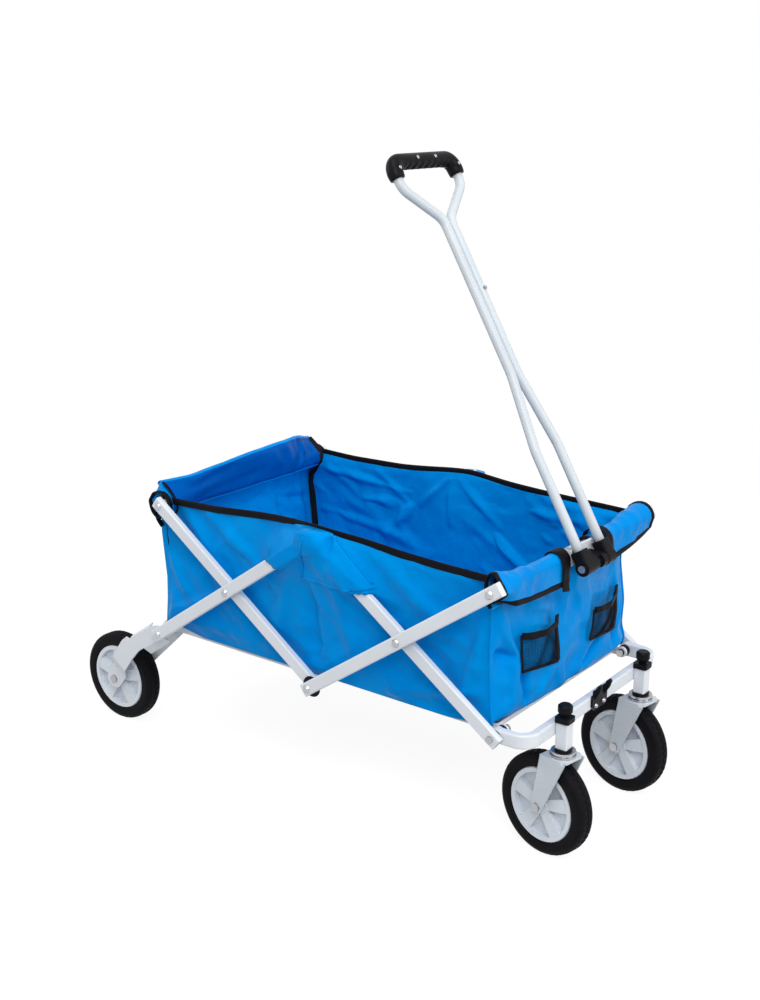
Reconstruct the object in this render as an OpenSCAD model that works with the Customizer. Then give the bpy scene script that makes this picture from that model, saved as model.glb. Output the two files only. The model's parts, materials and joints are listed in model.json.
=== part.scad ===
// Folding wagon: scissor-link frame, fabric bag, U-shaped front frame on two locking casters.
// X points to the front, Y to the left, Z up. The wheels stand on Z = 0.

/* [Scissor frame] */
// Angle of the links to the floor when open
link_angle = 35.2; // [30:0.1:40]
// Distance from a middle pivot to a centre pivot
link_inner = 237; // [220:1:260]
// Distance from a middle pivot to an end pivot
link_outer = 220; // [205:1:240]
// Height of the lower end pivots
pivot_z = 238.6; // [235:0.1:250]
// Overall width over the outer links
frame_w = 532; // [500:1:580]
// Height of the link tube
tube_h = 24; // [20:1:28]
// Thickness of the link tube
tube_t = 13; // [11:1:15]
// Wall of the link tube
tube_wall = 1.5; // [1:0.1:2.5]
// Gap between an inner and an outer link
link_gap = 3; // [2:0.5:6]
// Length of link past an end pivot
link_over = 22; // [14:1:28]
// Length of link past a centre pivot
centre_over = 11; // [10:1:16]
// Diameter of the link pins
pin_d = 8; // [6:1:10]
// Diameter of the pin heads
pin_head_d = 15; // [12:1:18]

/* [Front frame] */
// Distance from the front pivot to the front face of the frame
u_reach = 64.5; // [55:0.5:90]
// Height of the frame tube
u_h = 25; // [20:1:28]
// Thickness of the frame tube
u_t = 15; // [12:1:18]
// Wall of the frame tube
u_wall = 1.8; // [1.2:0.1:3]
// Outer radius of the frame's corners
u_corner = 34; // [24:1:45]
// Width of the square caster posts
post_w = 22; // [20:1:30]
// Wall of the caster posts
post_wall = 2; // [1.5:0.1:3]
// Distance between the caster posts
post_gap = 280; // [240:1:320]
// Lift of the swivel lock
lock_lift = 6; // [3:0.5:8]
// Diameter of the swivel lock's knob
knob_d = 25; // [20:1:28]

/* [Casters and wheels] */
// Wheel diameter
wheel_d = 180; // [150:1:190]
// Tyre width
tyre_w = 36; // [30:1:42]
// Rim diameter
rim_d = 133; // [110:1:145]
// Axle bolt diameter
axle_d = 10; // [8:1:12]
// Distance from the swivel axis back to the axle
trail = 31.5; // [20:0.5:40]
// Direction of the casters at rest
caster_turn = -10.5; // [-30:0.5:30]
// Swivel stem diameter
stem_d = 14; // [10:1:16]
// Thickness of the fork and bracket plates
plate_t = 3; // [2:0.5:4]
// Distance from the rear pivots back to the rear axle
rear_reach = 166.5; // [150:0.5:190]
// Distance between the middles of the rear wheels
rear_track = 410; // [390:1:430]
// Number of spokes
spokes = 5; // [3:1:8]

/* [Base and bag] */
// Thickness of the base side rails
rail_t = 5; // [3:0.5:6]
// Height of the base side rails
rail_h = 14; // [10:1:18]
// Width of the base boards
board_w = 408; // [370:1:408]
// Thickness of the base boards
board_t = 4; // [3:0.5:6]
// Width of the bag
bag_w = 423; // [421:0.5:425]
// Thickness of the bag's fabric
cloth_t = 2; // [1:0.5:2]
// Distance from the centre back to the split between the base halves
split_back = 37; // [36:1:60]
// Drop of the front sleeve's hem below the top tube
sleeve_drop = 44; // [30:1:60]
// Width of a front pocket
pocket_w = 92; // [70:1:110]
// Height of a front pocket
pocket_h = 70; // [50:1:90]

/* [Handle] */
// Distance from the front top tube forward to the handle pivot
hinge_out = 45; // [42:1:55]
// Distance from the front top tube down to the handle pivot
hinge_drop = 8.2; // [0:0.1:14]
// Backward lean of the handle at rest
handle_lean = 30.1; // [10:0.1:40]
// Length from the pivot to the middle of the grip
handle_len = 746; // [690:1:900]
// Diameter of the handle tubes
handle_tube_d = 19; // [16:0.5:20]
// Distance between the lower ends of the handle tubes
handle_foot = 73; // [70:1:90]
// Distance between the upper ends of the handle tubes
handle_top = 176; // [150:1:200]
// Diameter of the grip
grip_d = 28; // [26:1:34]
// Diameter of the two top tubes
top_tube_d = 20; // [16:1:24]

/* [Hidden] */
$fn = 48;
// running clearance on the radius of every pin
fit = 0.05;
// gap between cloth and tube
ease = 0.6;
// gap between links and front frame
bolt_gap = 2;
half_span = (link_inner + link_outer) * cos(link_angle);
mid_x = link_inner * cos(link_angle);
mid_z = pivot_z + link_outer * sin(link_angle);
rise = link_outer * sin(link_angle);
drop = link_inner * sin(link_angle);
wheel_r = wheel_d / 2;
crown = tyre_w * 0.28;
rear_end = half_span + rear_reach + wheel_r;
post_x0 = half_span + u_reach + post_w / 2;
front_end = post_x0 - trail * cos(caster_turn) + wheel_r * cos(caster_turn) + crown * abs(sin(caster_turn));
x0 = (rear_end - front_end) / 2;

// pivots, as [x, z]
bf = [x0 + half_span, pivot_z];
br = [x0 - half_span, pivot_z];
tf = [x0 + half_span, mid_z + rise];
tr = [x0 - half_span, mid_z + rise];
pf = [x0 + mid_x, mid_z];
pr = [x0 - mid_x, mid_z];
tc = [x0, mid_z + drop];
bc = [x0, mid_z - drop];

// distances from the middle plane out to the outer face of each layer
y_out = frame_w / 2;
y_in = y_out - tube_t - link_gap;
y_u = y_in - tube_t - bolt_gap;
y_rail_b = bag_w / 2 + cloth_t / 2 + 4.5;
y_rail_f = y_rail_b - rail_t - 2;

u_top = pivot_z + u_h / 2;
u_x = bf[0] + u_reach;
post_x = u_x + post_w / 2;
plate_z = wheel_d + 6;
race_z = plate_z + plate_t + 1;
collar_z = race_z + 10;
post_z = collar_z + 4;
wheel_gap = tyre_w / 2 + 6;
axle_x = br[0] - rear_reach;
rail_top = pivot_z + rail_h / 2;
board_z = rail_top;
floor_z = board_z + board_t;
// thickness of the floor cloth
floor_t = 1.5;
// distance from the lower end pivots to the edge of the boards
board_gap = 14;
bag_z = rail_top + 0.5;
y_wheel = rear_track / 2;
hinge = [tf[0] + hinge_out, tf[1] - hinge_drop];
foot_y = handle_foot / 2;
neck_y = handle_tube_d / 2 + 0.5;
top_y = handle_top / 2;
cap_w = handle_tube_d + 6;
block_y = foot_y - cap_w / 2 - 0.5;
sleeve_r = top_tube_d / 2 + ease + cloth_t;
catch_y = -5;
washer_d = pin_head_d + 6;
// half width of the fork's crown
crown_half = 28;
// height of the swivel lock's housing
lock_h = lock_lift + 3;
plunger_d = 10;

module both_sides() {
  children();
  mirror([0, 1, 0]) children();
}

// flat shape drawn in X and Z, as thick as t, with its outer face y out on the right side
module plate(y, t) {
  translate([0, -y + t, 0]) rotate([90, 0, 0]) linear_extrude(t) children();
}

// round bar across the right side, from y out to y in
module bar(p, out, in, d) {
  translate([p[0], -out, p[1]]) rotate([-90, 0, 0]) cylinder(d = d, h = out - in);
}

module rounded(w, h, r) {
  square([w - 2 * r, h], center = true);
  square([w, h - 2 * r], center = true);
  for (x = [-1, 1], y = [-1, 1]) translate([x * (w / 2 - r), y * (h / 2 - r)]) circle(r, $fn = 24);
}

// rectangular tube on the right side from pivot p to pivot q, with holes at distances along it
module link(p, q, over_p, over_q, y, holes) {
  d = q - p;
  span = norm(d);
  translate([p[0], -y + tube_t / 2, p[1]]) rotate([0, -atan2(d[1], d[0]), 0]) difference() {
    translate([-over_p, 0, 0]) rotate([90, 0, 90]) linear_extrude(span + over_p + over_q)
      rounded(tube_t, tube_h, 3);
    translate([tube_wall - over_p, 0, 0]) rotate([90, 0, 90])
      linear_extrude(span + over_p + over_q - 2 * tube_wall)
      rounded(tube_t - 2 * tube_wall, tube_h - 2 * tube_wall, 1.5);
    for (x = concat(holes, [0, span]))
      translate([x, -tube_t, 0]) rotate([-90, 0, 0]) cylinder(d = pin_d + 2 * fit, h = 2 * tube_t);
  }
}

// headed pin on the right side
module pin(p, out, in) {
  bar(p, out, in, pin_d);
  translate([p[0], -out, p[1]]) rotate([90, 0, 0]) cylinder(d1 = pin_head_d, d2 = pin_head_d - 5, h = 3);
  translate([p[0], -in, p[1]]) rotate([-90, 0, 0]) cylinder(d = pin_head_d - 3, h = 2);
}

// spacer between an inner and an outer link
module spacer(p) {
  difference() {
    bar(p, y_out - tube_t, y_in, pin_head_d);
    bar(p, y_out, y_in - 1, pin_d);
  }
}

// ---- front frame ----
module u_section(inset) {
  rounded(u_t - 2 * inset, u_h - 2 * inset, 3.5 - inset);
}

module u_path(inset, start) {
  r = u_corner - u_t / 2;
  y = y_u - u_t / 2;
  both_sides() {
    translate([start, -y, pivot_z]) rotate([90, 0, 90]) linear_extrude(u_x - u_corner - start)
      u_section(inset);
    translate([u_x - u_corner, -y + r, pivot_z]) rotate([0, 0, -90]) rotate_extrude(angle = 90)
      translate([r, 0]) u_section(inset);
  }
  translate([u_x - u_t / 2, y - r, pivot_z]) rotate([90, 0, 0]) linear_extrude(2 * (y - r))
    u_section(inset);
}

module front_u_tube() {
  color("white") difference() {
    union() {
      difference() {
        u_path(0, bf[0]);
        u_path(u_wall, bf[0] + 16);
      }
      both_sides() bar(bf, y_u, y_u - u_t, u_h);
    }
    both_sides() bar(bf, y_u + 1, y_u - u_t - 1, pin_d + 2 * fit);
  }
}

module front_posts() {
  color("white") both_sides() translate([post_x, -post_gap / 2, post_z]) difference() {
    linear_extrude(u_top - post_z) rounded(post_w, post_w, 2.5);
    translate([0, 0, -1]) linear_extrude(u_top - post_z + 2)
      square(post_w - 2 * post_wall, center = true);
  }
}

// collar with bush under each post, lock housing on top
module post_fittings() {
  color([0.08, 0.08, 0.08]) both_sides() translate([post_x, -post_gap / 2, 0]) {
    difference() {
      union() {
        translate([0, 0, collar_z]) cylinder(d = post_w + 8, h = post_z - collar_z);
        translate([0, 0, post_z]) cylinder(d = post_w - 2 * post_wall - 0.4, h = 18);
      }
      translate([0, 0, collar_z - 1]) cylinder(d = stem_d + 2 * fit, h = 40);
    }
    difference() {
      translate([0, 0, u_top]) linear_extrude(lock_h) rounded(post_w + 5, post_w + 5, 5);
      translate([0, 0, u_top - 1]) cylinder(d = plunger_d + 2 * fit, h = lock_h + 2);
    }
  }
}

module front_bolts() {
  color([0.7, 0.7, 0.72]) {
    both_sides() {
      bar(bf, y_in, y_rail_f - rail_t - 4, pin_d);
      translate([bf[0], -y_in, bf[1]]) rotate([90, 0, 0]) cylinder(d = pin_head_d - 2, h = 4, $fn = 6);
      bar(bf, y_rail_f - rail_t - 4, y_rail_f - rail_t - 9, pin_head_d - 2);
    }
    for (y = [-14, 14]) translate([u_x + 4, catch_y + y, pivot_z - 6]) rotate([0, 90, 0])
      cylinder(d1 = 9, d2 = 6, h = 3);
  }
}

module washer(p, out, in, d) {
  difference() {
    bar(p, out, in, d);
    bar(p, out + 1, in - 1, pin_d + 0.2);
  }
}

module front_washers() {
  color([0.05, 0.05, 0.05]) both_sides() {
    washer(bf, y_in - tube_t - 0.2, y_u, washer_d);
    washer(bf, y_u - u_t, y_rail_f + 0.3, washer_d);
    washer(bf, y_rail_f - rail_t - 0.3, y_rail_f - rail_t - 4, pin_head_d - 1);
  }
}

// two-prong catch that holds the handle tubes
module handle_catch() {
  low = pivot_z - u_h / 2 - 1.5;
  color([0.06, 0.06, 0.06]) {
    translate([u_x, catch_y, low]) difference() {
      translate([0, -26, 0]) cube([4, 52, u_h + 3]);
      for (y = [-26, 26]) translate([-1, y, 0]) rotate([45, 0, 0]) cube([12, 12, 12], center = true);
    }
    for (s = [-1, 1]) translate([u_x, catch_y + s * 17 + 3, low + u_h + 3]) rotate([90, 0, 0])
      linear_extrude(6) polygon([[0, -8], [4, -8], [12, 5], [16, 17], [13, 22], [8, 18], [4, 10], [0, 8]]);
  }
}

// ---- swivel lock ----
module lock_knob() {
  color([0.05, 0.05, 0.05]) translate([post_x, -post_gap / 2, u_top + lock_h]) {
    translate([0, 0, -lock_h - 2]) cylinder(d = plunger_d, h = lock_h + 3);
    translate([0, 0, 0.3]) cylinder(d = knob_d - 11, h = 5);
    translate([0, 0, 5]) cylinder(d1 = knob_d - 5, d2 = knob_d, h = 4);
    translate([0, 0, 9]) cylinder(d = knob_d, h = 10);
    translate([0, 0, 19]) cylinder(d1 = knob_d, d2 = knob_d - 6, h = 3);
  }
}

module lock_knob_right() { lock_knob(); }
module lock_knob_left() { mirror([0, 1, 0]) lock_knob(); }

// ---- casters, drawn on the swivel axis, rolling along X ----
module on_post(side) {
  translate([post_x, side * post_gap / 2, 0]) rotate([0, 0, caster_turn]) children();
}

// tapered cheek of the fork
module cheek() {
  difference() {
    hull() {
      translate([-trail, wheel_r]) circle(d = axle_d + 14, $fn = 32);
      translate([-crown_half, plate_z - 1]) square([2 * crown_half - 4, 2]);
    }
    translate([-trail, wheel_r]) circle(d = axle_d);
  }
}

module fork() {
  side = wheel_gap + plate_t;
  color("white") {
    translate([0, 0, plate_z]) linear_extrude(plate_t + 1) difference() {
      translate([-crown_half, -side]) square([2 * crown_half - 4, 2 * side]);
      for (y = [-side, side]) translate([crown_half - 4, y]) rotate(45) square(12, center = true);
    }
    translate([0, 0, plate_z]) cylinder(d = stem_d, h = post_z + 22 - plate_z);
    both_sides() plate(side, plate_t) cheek();
  }
}

module race() {
  color([0.75, 0.76, 0.78]) translate([0, 0, race_z]) difference() {
    union() {
      cylinder(d = 44, h = 4);
      translate([0, 0, 4]) cylinder(d = 38, h = 2);
      translate([0, 0, 6]) cylinder(d = 42, h = 3.7);
    }
    translate([0, 0, -1]) cylinder(d = stem_d + 0.6, h = 20);
  }
}

module axle_bolt() {
  rotate([90, 0, 0]) cylinder(d = axle_d, h = 2 * (wheel_gap + plate_t), center = true);
  for (s = [-1, 1]) translate([0, s * (wheel_gap + plate_t + 2), 0]) rotate([90, 0, 0])
    cylinder(d = axle_d + 6, h = 4, center = true, $fn = s < 0 ? 48 : 6);
}

module caster_axle() {
  color([0.6, 0.6, 0.62]) translate([-trail, 0, wheel_r]) axle_bolt();
}

module fork_right() { on_post(-1) fork(); }
module fork_left() { on_post(1) fork(); }
module race_right() { on_post(-1) race(); }
module race_left() { on_post(1) race(); }
module caster_axle_right() { on_post(-1) caster_axle(); }
module caster_axle_left() { on_post(1) caster_axle(); }

// ---- wheels, drawn on their own axle along Y ----
module hub() {
  r = rim_d / 2;
  color([0.86, 0.87, 0.9]) rotate([90, 0, 0]) difference() {
    union() {
      rotate_extrude($fn = 64) polygon([[r - 9, -tyre_w / 2 + 2], [r - 1.5, -tyre_w / 2 + 1.5], [r, -tyre_w / 2 + 4],
        [r, tyre_w / 2 - 4], [r - 1.5, tyre_w / 2 - 1.5], [r - 9, tyre_w / 2 - 2]]);
      cylinder(r = r - 6, h = 8, center = true);
      cylinder(d = axle_d + 20, h = tyre_w - 2, center = true);
      cylinder(d = axle_d + 10, h = 2 * wheel_gap - 3, center = true);
      for (i = [0 : spokes - 1]) rotate(90 + i * 360 / spokes) translate([0, 0, -tyre_w / 2 + 3])
        linear_extrude(tyre_w - 6) polygon([[axle_d / 2 + 6, -9], [r - 7, -13], [r - 7, 13], [axle_d / 2 + 6, 9]]);
    }
    cylinder(d = axle_d + 2 * fit, h = 4 * wheel_gap, center = true);
  }
}

module tyre() {
  r = rim_d / 2;
  w = tyre_w / 2;
  color([0.07, 0.07, 0.07]) rotate([90, 0, 0]) rotate_extrude($fn = 64) polygon([[r, 4 - w], [r + 2, 1 - w],
    [r + 8, -w], [wheel_r - 8, -w], [wheel_r - 2, -w + 3], [wheel_r, -crown], [wheel_r, crown],
    [wheel_r - 2, w - 3], [wheel_r - 8, w], [r + 8, w], [r + 2, w - 1], [r, w - 4]]);
}

module at_caster_axle() {
  translate([-trail, 0, wheel_r]) children();
}

module at_rear_axle(side) {
  translate([axle_x, side * y_wheel, wheel_r]) children();
}

module hub_front_right() { on_post(-1) at_caster_axle() hub(); }
module hub_front_left() { on_post(1) at_caster_axle() hub(); }
module tyre_front_right() { on_post(-1) at_caster_axle() tyre(); }
module tyre_front_left() { on_post(1) at_caster_axle() tyre(); }
module hub_rear_right() { at_rear_axle(-1) hub(); }
module hub_rear_left() { at_rear_axle(1) hub(); }
module tyre_rear_right() { at_rear_axle(-1) tyre(); }
module tyre_rear_left() { at_rear_axle(1) tyre(); }

// ---- scissor links ----
module link_a() { color("white") link(tr, bc, link_over - 10, centre_over, y_in, [link_outer]); }
module link_b() { color("white") link(br, tc, link_over - 10, centre_over, y_out, [link_outer]); }
module link_c() { color("white") link(bf, tc, link_over - 8, centre_over, y_in, [link_outer]); }
module link_d() { color("white") link(tf, bc, link_over, centre_over, y_out, [link_outer]); }

module link_a_right() { link_a(); }
module link_a_left() { mirror([0, 1, 0]) link_a(); }
module link_b_right() { link_b(); }
module link_b_left() { mirror([0, 1, 0]) link_b(); }
module link_c_right() { link_c(); }
module link_c_left() { mirror([0, 1, 0]) link_c(); }
module link_d_right() { link_d(); }
module link_d_left() { mirror([0, 1, 0]) link_d(); }

// pins of link C: middle front and centre top
module pins_c() {
  color([0.72, 0.72, 0.74]) both_sides() for (p = [pf, tc]) {
    pin(p, y_out, y_in - tube_t);
    spacer(p);
  }
}

// screw through a link, with a plug that carries the end of a top tube
module tube_screw(p, out) {
  bar(p, out - tube_t, out - tube_t - 14, top_tube_d - 3);
  bar(p, out, out - tube_t, pin_d);
  translate([p[0], -out, p[1]]) rotate([90, 0, 0]) cylinder(d1 = pin_head_d, d2 = pin_head_d - 5, h = 3);
}

// centre bottom pin of link D and the screws of the front top tube
module pins_d() {
  color([0.72, 0.72, 0.74]) both_sides() {
    pin(bc, y_out, y_in - tube_t);
    spacer(bc);
    tube_screw(tf, y_out);
  }
}

// screws of the rear top tube
module pins_a() {
  color([0.72, 0.72, 0.74]) both_sides() tube_screw(tr, y_in);
}

// pins of link B: middle rear, and the long rear pin through bracket and base rail
module pins_b() {
  color([0.72, 0.72, 0.74]) both_sides() {
    pin(pr, y_out, y_in - tube_t);
    spacer(pr);
    pin(br, y_out, y_wheel - wheel_gap - plate_t);
  }
}

// ---- top tubes ----
module cross_tube(p, y, d) {
  difference() {
    bar(p, y, -y, d);
    bar(p, y + 1, -y - 1, d - 3);
  }
}

module front_top_tube() { color("white") cross_tube(tf, y_out - tube_t, top_tube_d); }
module rear_top_tube() { color("white") cross_tube(tr, y_in - tube_t, top_tube_d); }

// ---- handle mount ----
module handle_saddle() {
  color("white") {
    difference() {
      union() {
        bar(tf, block_y - 6, 6 - block_y, top_tube_d + 5);
        translate([tf[0], 6 - block_y, tf[1] - top_tube_d / 2 - 2])
          cube([top_tube_d / 2 + 8, 2 * block_y - 12, top_tube_d / 2 + 2]);
      }
      bar(tf, block_y, -block_y, top_tube_d);
    }
    translate([tf[0] + top_tube_d / 2 + 4, 10 - foot_y - cap_w / 2, tf[1] - 12]) difference() {
      cube([4, handle_foot + cap_w - 20, 32]);
      for (y = [0, handle_foot + cap_w - 20]) translate([2, y, 32]) rotate([45, 0, 0])
        cube([6, 9, 9], center = true);
    }
  }
}

module hinge_block() {
  back = tf[0] + top_tube_d / 2 + 8;
  color([0.06, 0.06, 0.06]) difference() {
    union() {
      bar(hinge, block_y, -block_y, 24);
      translate([back, -block_y, hinge[1] - 12]) cube([hinge[0] - back, 2 * block_y, 24]);
    }
    bar(hinge, block_y + 1, -block_y - 1, pin_d + 2 * fit);
    translate([hinge[0] + 2, -8, hinge[1] - 20]) cube([20, 16, 40]);
  }
}

// ---- rear frame ----
function along(u, v) = [br[0] + u * cos(link_angle) - v * sin(link_angle),
  br[1] + u * sin(link_angle) + v * cos(link_angle)];

// outline of the outer plate: in line with link B, then a tapered arm to the axle
module bracket_outline(axle) {
  arm = along(-135, 3) - axle;
  n = [-arm[1], arm[0]] / norm(arm) * (axle_d / 2 + 15);
  polygon([along(12, -10), along(12, 8), along(-8, 18), along(-23, 22.5), along(-100, 25), along(-105, 31),
    along(-120, 30), along(-150, 20), axle + n, axle - n, along(-146, -23), along(-121, -14), along(-90, -6.5),
    along(-20, -6.5)]);
  translate(axle) circle(d = axle_d + 30);
}

// strip as deep as the plate, with a joggle from its upper layer in to the axle's layer
module joggle(axle, out, low) {
  arm = along(-135, 3) - axle;
  translate([axle[0], 0, axle[1]]) rotate([0, -atan2(arm[1], arm[0]), 0]) translate([0, 0, -100])
    linear_extrude(200) polygon([[-60, -low], [30, -low], [62, -out], [400, -out], [400, plate_t - out],
      [61, plate_t - out], [29, plate_t - low], [-60, plate_t - low]]);
}

// edge bent over along link B, from u to u, with a section in Y and across the link
module bracket_lip(u0, u1, section) {
  translate([br[0], 0, br[1]]) rotate([0, -link_angle, 0]) translate([u0, 0, 0]) rotate([90, 0, 90])
    linear_extrude(u1 - u0) polygon(section);
}

module rear_bracket() {
  out = y_out - tube_t - 0.5;
  low = y_wheel + wheel_gap + plate_t;
  in = y_wheel - wheel_gap;
  axle = [axle_x, wheel_r];
  color("white") difference() {
    union() {
      intersection() {
        plate(out, out - low + plate_t) bracket_outline(axle);
        joggle(axle, out, low);
      }
      bracket_lip(-102, -30, [[-out, 19], [-out, 23], [15 - out, 29], [15 - out, 26], [plate_t - out, 19]]);
      bracket_lip(-70, -4, [[-out, -4], [-out, -8], [10 - out, -23], [13 - out, -21], [plate_t - out, -4]]);
      // inner plate
      hull() {
        bar(br, in, in - plate_t, 18);
        bar(along(-60, 4), in, in - plate_t, 44);
      }
      hull() {
        bar(along(-60, 4), in, in - plate_t, 44);
        bar(axle, in, in - plate_t, axle_d + 22);
      }
    }
    bar(br, out + 1, in - plate_t - 1, pin_d + 2 * fit);
    bar(axle, low + 1, in - plate_t - 1, axle_d);
    bar(along(-46, 4), out - plate_t, in - plate_t - 1, top_tube_d + 0.3);
  }
}

module rear_bracket_right() { rear_bracket(); }
module rear_bracket_left() { mirror([0, 1, 0]) rear_bracket(); }
module rear_cross_tube() {
  color("white") cross_tube(along(-46, 4), y_out - tube_t - 0.5 - plate_t, top_tube_d);
}

module rear_axles() {
  color([0.6, 0.6, 0.62]) both_sides() at_rear_axle(-1) axle_bolt();
}

// ---- base ----
// side rail from the pivot p to x, with rounded ends and a pin hole
module rail(p, x, y) {
  difference() {
    union() {
      bar(p, y, y - rail_t, rail_h + 6);
      bar([x, p[1]], y, y - rail_t, rail_h);
      translate([min(p[0], x), -y, p[1] - rail_h / 2]) cube([abs(x - p[0]), rail_t, rail_h]);
    }
    bar(p, y + 1, y - rail_t - 1, pin_d + 2 * fit);
  }
}

module base_frame_front() {
  in = y_rail_f - rail_t;
  color([0.8, 0.81, 0.83]) {
    both_sides() rail(bf, x0 - 10, y_rail_f);
    for (x = [bf[0] - 22, x0 + half_span / 2, x0 + half_span * 0.16]) cross_tube([x, pivot_z], in, rail_h);
  }
}

module base_frame_rear() {
  in = y_rail_b - rail_t;
  color([0.8, 0.81, 0.83]) {
    both_sides() {
      rail(br, x0 + 10, y_rail_b);
      translate([x0, -y_rail_b, pivot_z]) rotate([90, 0, 0]) cylinder(d = 20, h = 3);
    }
    for (x = [br[0] + 22, x0 - half_span / 2, x0 - split_back - 22])
      cross_tube([x, pivot_z], in, rail_h);
  }
}

// flat panel between x and x across the bag
module panel(xa, xb, w, z, t) {
  translate([xa, -w / 2, z]) cube([xb - xa, w, t]);
}

module base_board_front() {
  color([0.1, 0.1, 0.11]) panel(x0 - split_back + 21, bf[0] - board_gap, board_w, board_z, board_t);
}

module base_board_rear() {
  color([0.1, 0.1, 0.11]) panel(br[0] + board_gap, x0 - split_back, board_w, board_z, board_t);
}

module floor_front() {
  color([0.02, 0.3, 0.75]) panel(x0 - split_back + 6.5, bf[0] - board_gap, board_w, floor_z, floor_t);
}

module floor_rear() {
  color([0.02, 0.3, 0.75]) panel(br[0] + board_gap, x0 - split_back, board_w, floor_z, floor_t);
}

// ---- bag ----
// loops of cloth round a top tube, between y and y on both sides
module loops(p, out, in) {
  both_sides() difference() {
    bar(p, out, in, 2 * sleeve_r);
    bar(p, out + 1, in - 1, 2 * (sleeve_r - cloth_t));
  }
}

module bag_front_wall() {
  w = board_w - 2;
  color([0.03, 0.4, 0.85]) {
    difference() {
      translate([tf[0] - 2.5, -w / 2, bag_z]) cube([cloth_t, w, tf[1] - top_tube_d / 2 - 1 - bag_z]);
      translate([tf[0] - 5, -block_y, tf[1] - top_tube_d / 2 - 4]) cube([9, 2 * block_y, 8]);
    }
    loops(tf, w / 2, foot_y + cap_w / 2 - 2);
  }
}

module front_sleeve() {
  r = sleeve_r;
  w = board_w / 2 - 1;
  in = foot_y + cap_w / 2 - 2;
  color([0.03, 0.42, 0.88]) both_sides() {
    intersection() {
      difference() {
        bar(tf, w, in, 2 * r + 2 * cloth_t);
        bar(tf, w + 1, in - 1, 2 * r);
      }
      translate([tf[0], -w, tf[1]]) cube([40, w - in, 40]);
    }
    translate([tf[0] + r, -w, tf[1] - sleeve_drop]) cube([cloth_t, w - in, sleeve_drop]);
  }
}

module front_pockets() {
  x = tf[0] - 2.5 + cloth_t;
  color([0.12, 0.16, 0.24]) for (y = [41 - board_w / 2, pocket_w / 2]) translate([x, y, bag_z + pocket_h + 6])
    cube([5, pocket_w, pocket_h]);
}

module bag_rear_wall() {
  w = board_w - 2;
  low = floor_z + floor_t + 1;
  color([0.03, 0.4, 0.85]) {
    translate([tr[0] + 2.5 - cloth_t, -w / 2, low]) cube([cloth_t, w, tr[1] - top_tube_d / 2 - 1 - low]);
    loops(tr, w / 2, 0);
  }
}

module bag_side() {
  top = tc[1] - 2;
  color([0.03, 0.4, 0.85]) plate(bag_w / 2 + cloth_t / 2, cloth_t) polygon([
    [x0 - half_span + 17, bag_z], [x0 + half_span - 17, bag_z], [x0 + half_span - 3, bag_z + 14],
    [x0 + half_span - 3, tf[1] - top_tube_d / 2 - 5], [x0 + half_span - top_tube_d - 3, top],
    [x0 - half_span + top_tube_d + 3, top], [x0 - half_span + 3, tr[1] - top_tube_d / 2 - 5],
    [x0 - half_span + 3, bag_z + 14]]);
}

module bag_side_right() { bag_side(); }
module bag_side_left() { mirror([0, 1, 0]) bag_side(); }

// ---- handle, drawn upright on the pivot ----
module at_handle() {
  translate([hinge[0], 0, hinge[1]]) rotate([0, -handle_lean, 0]) children();
}

// length of an S-bend of two arcs that shifts a tube sideways
function s_len(shift, a, r) = 2 * r * sin(a) + (shift - 2 * r * (1 - cos(a))) * cos(a) / sin(a);

// stations [y, z, tilt] along an S-bend that starts at y, z; side is 1 towards the middle, -1 outwards
function s_bend(y, z, shift, a, r, side, n) = concat(
  [for (i = [0 : n]) let (t = a * i / n) [y + side * r * (1 - cos(t)), z + r * sin(t), side * t]],
  [for (i = [n : -1 : 0]) let (t = a * i / n)
    [y + side * (shift - r * (1 - cos(t))), z + s_len(shift, a, r) - r * sin(t), side * t]]);

neck_a = 11;
neck_r = 60;
fork_a = 52;
fork_r = 30;
// lower end of the grip's lobes
lobe_z = handle_len - grip_d - 2;
neck_shift = foot_y - neck_y;
fork_shift = top_y - neck_y;
tube_path = concat([[-foot_y, pin_d / 2 + 1, 0]], s_bend(-foot_y, handle_len * 0.275, neck_shift, neck_a, neck_r, 1, 2),
  s_bend(-neck_y, lobe_z - 4 - s_len(fork_shift, fork_a, fork_r), fork_shift, fork_a, fork_r, -1, 5),
  [[-top_y, handle_len - 4, 0]]);

// hollow round tube swept along stations [y, z, tilt], with n sides
module sweep(path, d, wall, n = 24) {
  m = len(path);
  points = [for (r = [d / 2, d / 2 - wall], p = path, i = [0 : n - 1]) let (t = 360 * i / n)
    [r * cos(t), p[0] + r * sin(t) * cos(p[2]), p[1] - r * sin(t) * sin(p[2])]];
  shell = [for (k = [0 : m - 2], i = [0 : n - 1]) let (j = (i + 1) % n)
    [k * n + i, (k + 1) * n + i, (k + 1) * n + j, k * n + j]];
  bore = [for (f = shell) [f[3] + m * n, f[2] + m * n, f[1] + m * n, f[0] + m * n]];
  ends = [for (i = [0 : n - 1]) let (j = (i + 1) % n, e = (m - 1) * n)
    each [[i, j, m * n + j, m * n + i], [e + j, e + i, e + m * n + i, e + m * n + j]]];
  polyhedron(points, concat(shell, bore, ends));
}

module handle_tube() {
  color("white") at_handle() sweep(tube_path, handle_tube_d, 1.4);
}

module handle_tube_right() { handle_tube(); }
module handle_tube_left() { mirror([0, 1, 0]) handle_tube(); }

module handle_caps() {
  color([0.05, 0.05, 0.05]) at_handle() both_sides() difference() {
    union() {
      translate([0, -foot_y, 4]) linear_extrude(26) rounded(cap_w, cap_w, 6);
      bar([0, 0], foot_y + cap_w / 2, foot_y - cap_w / 2, 26);
    }
    translate([0, -foot_y, -2]) cylinder(d = handle_tube_d, h = 40);
    bar([0, 0], foot_y + cap_w, foot_y - cap_w, pin_d);
  }
}

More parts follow.
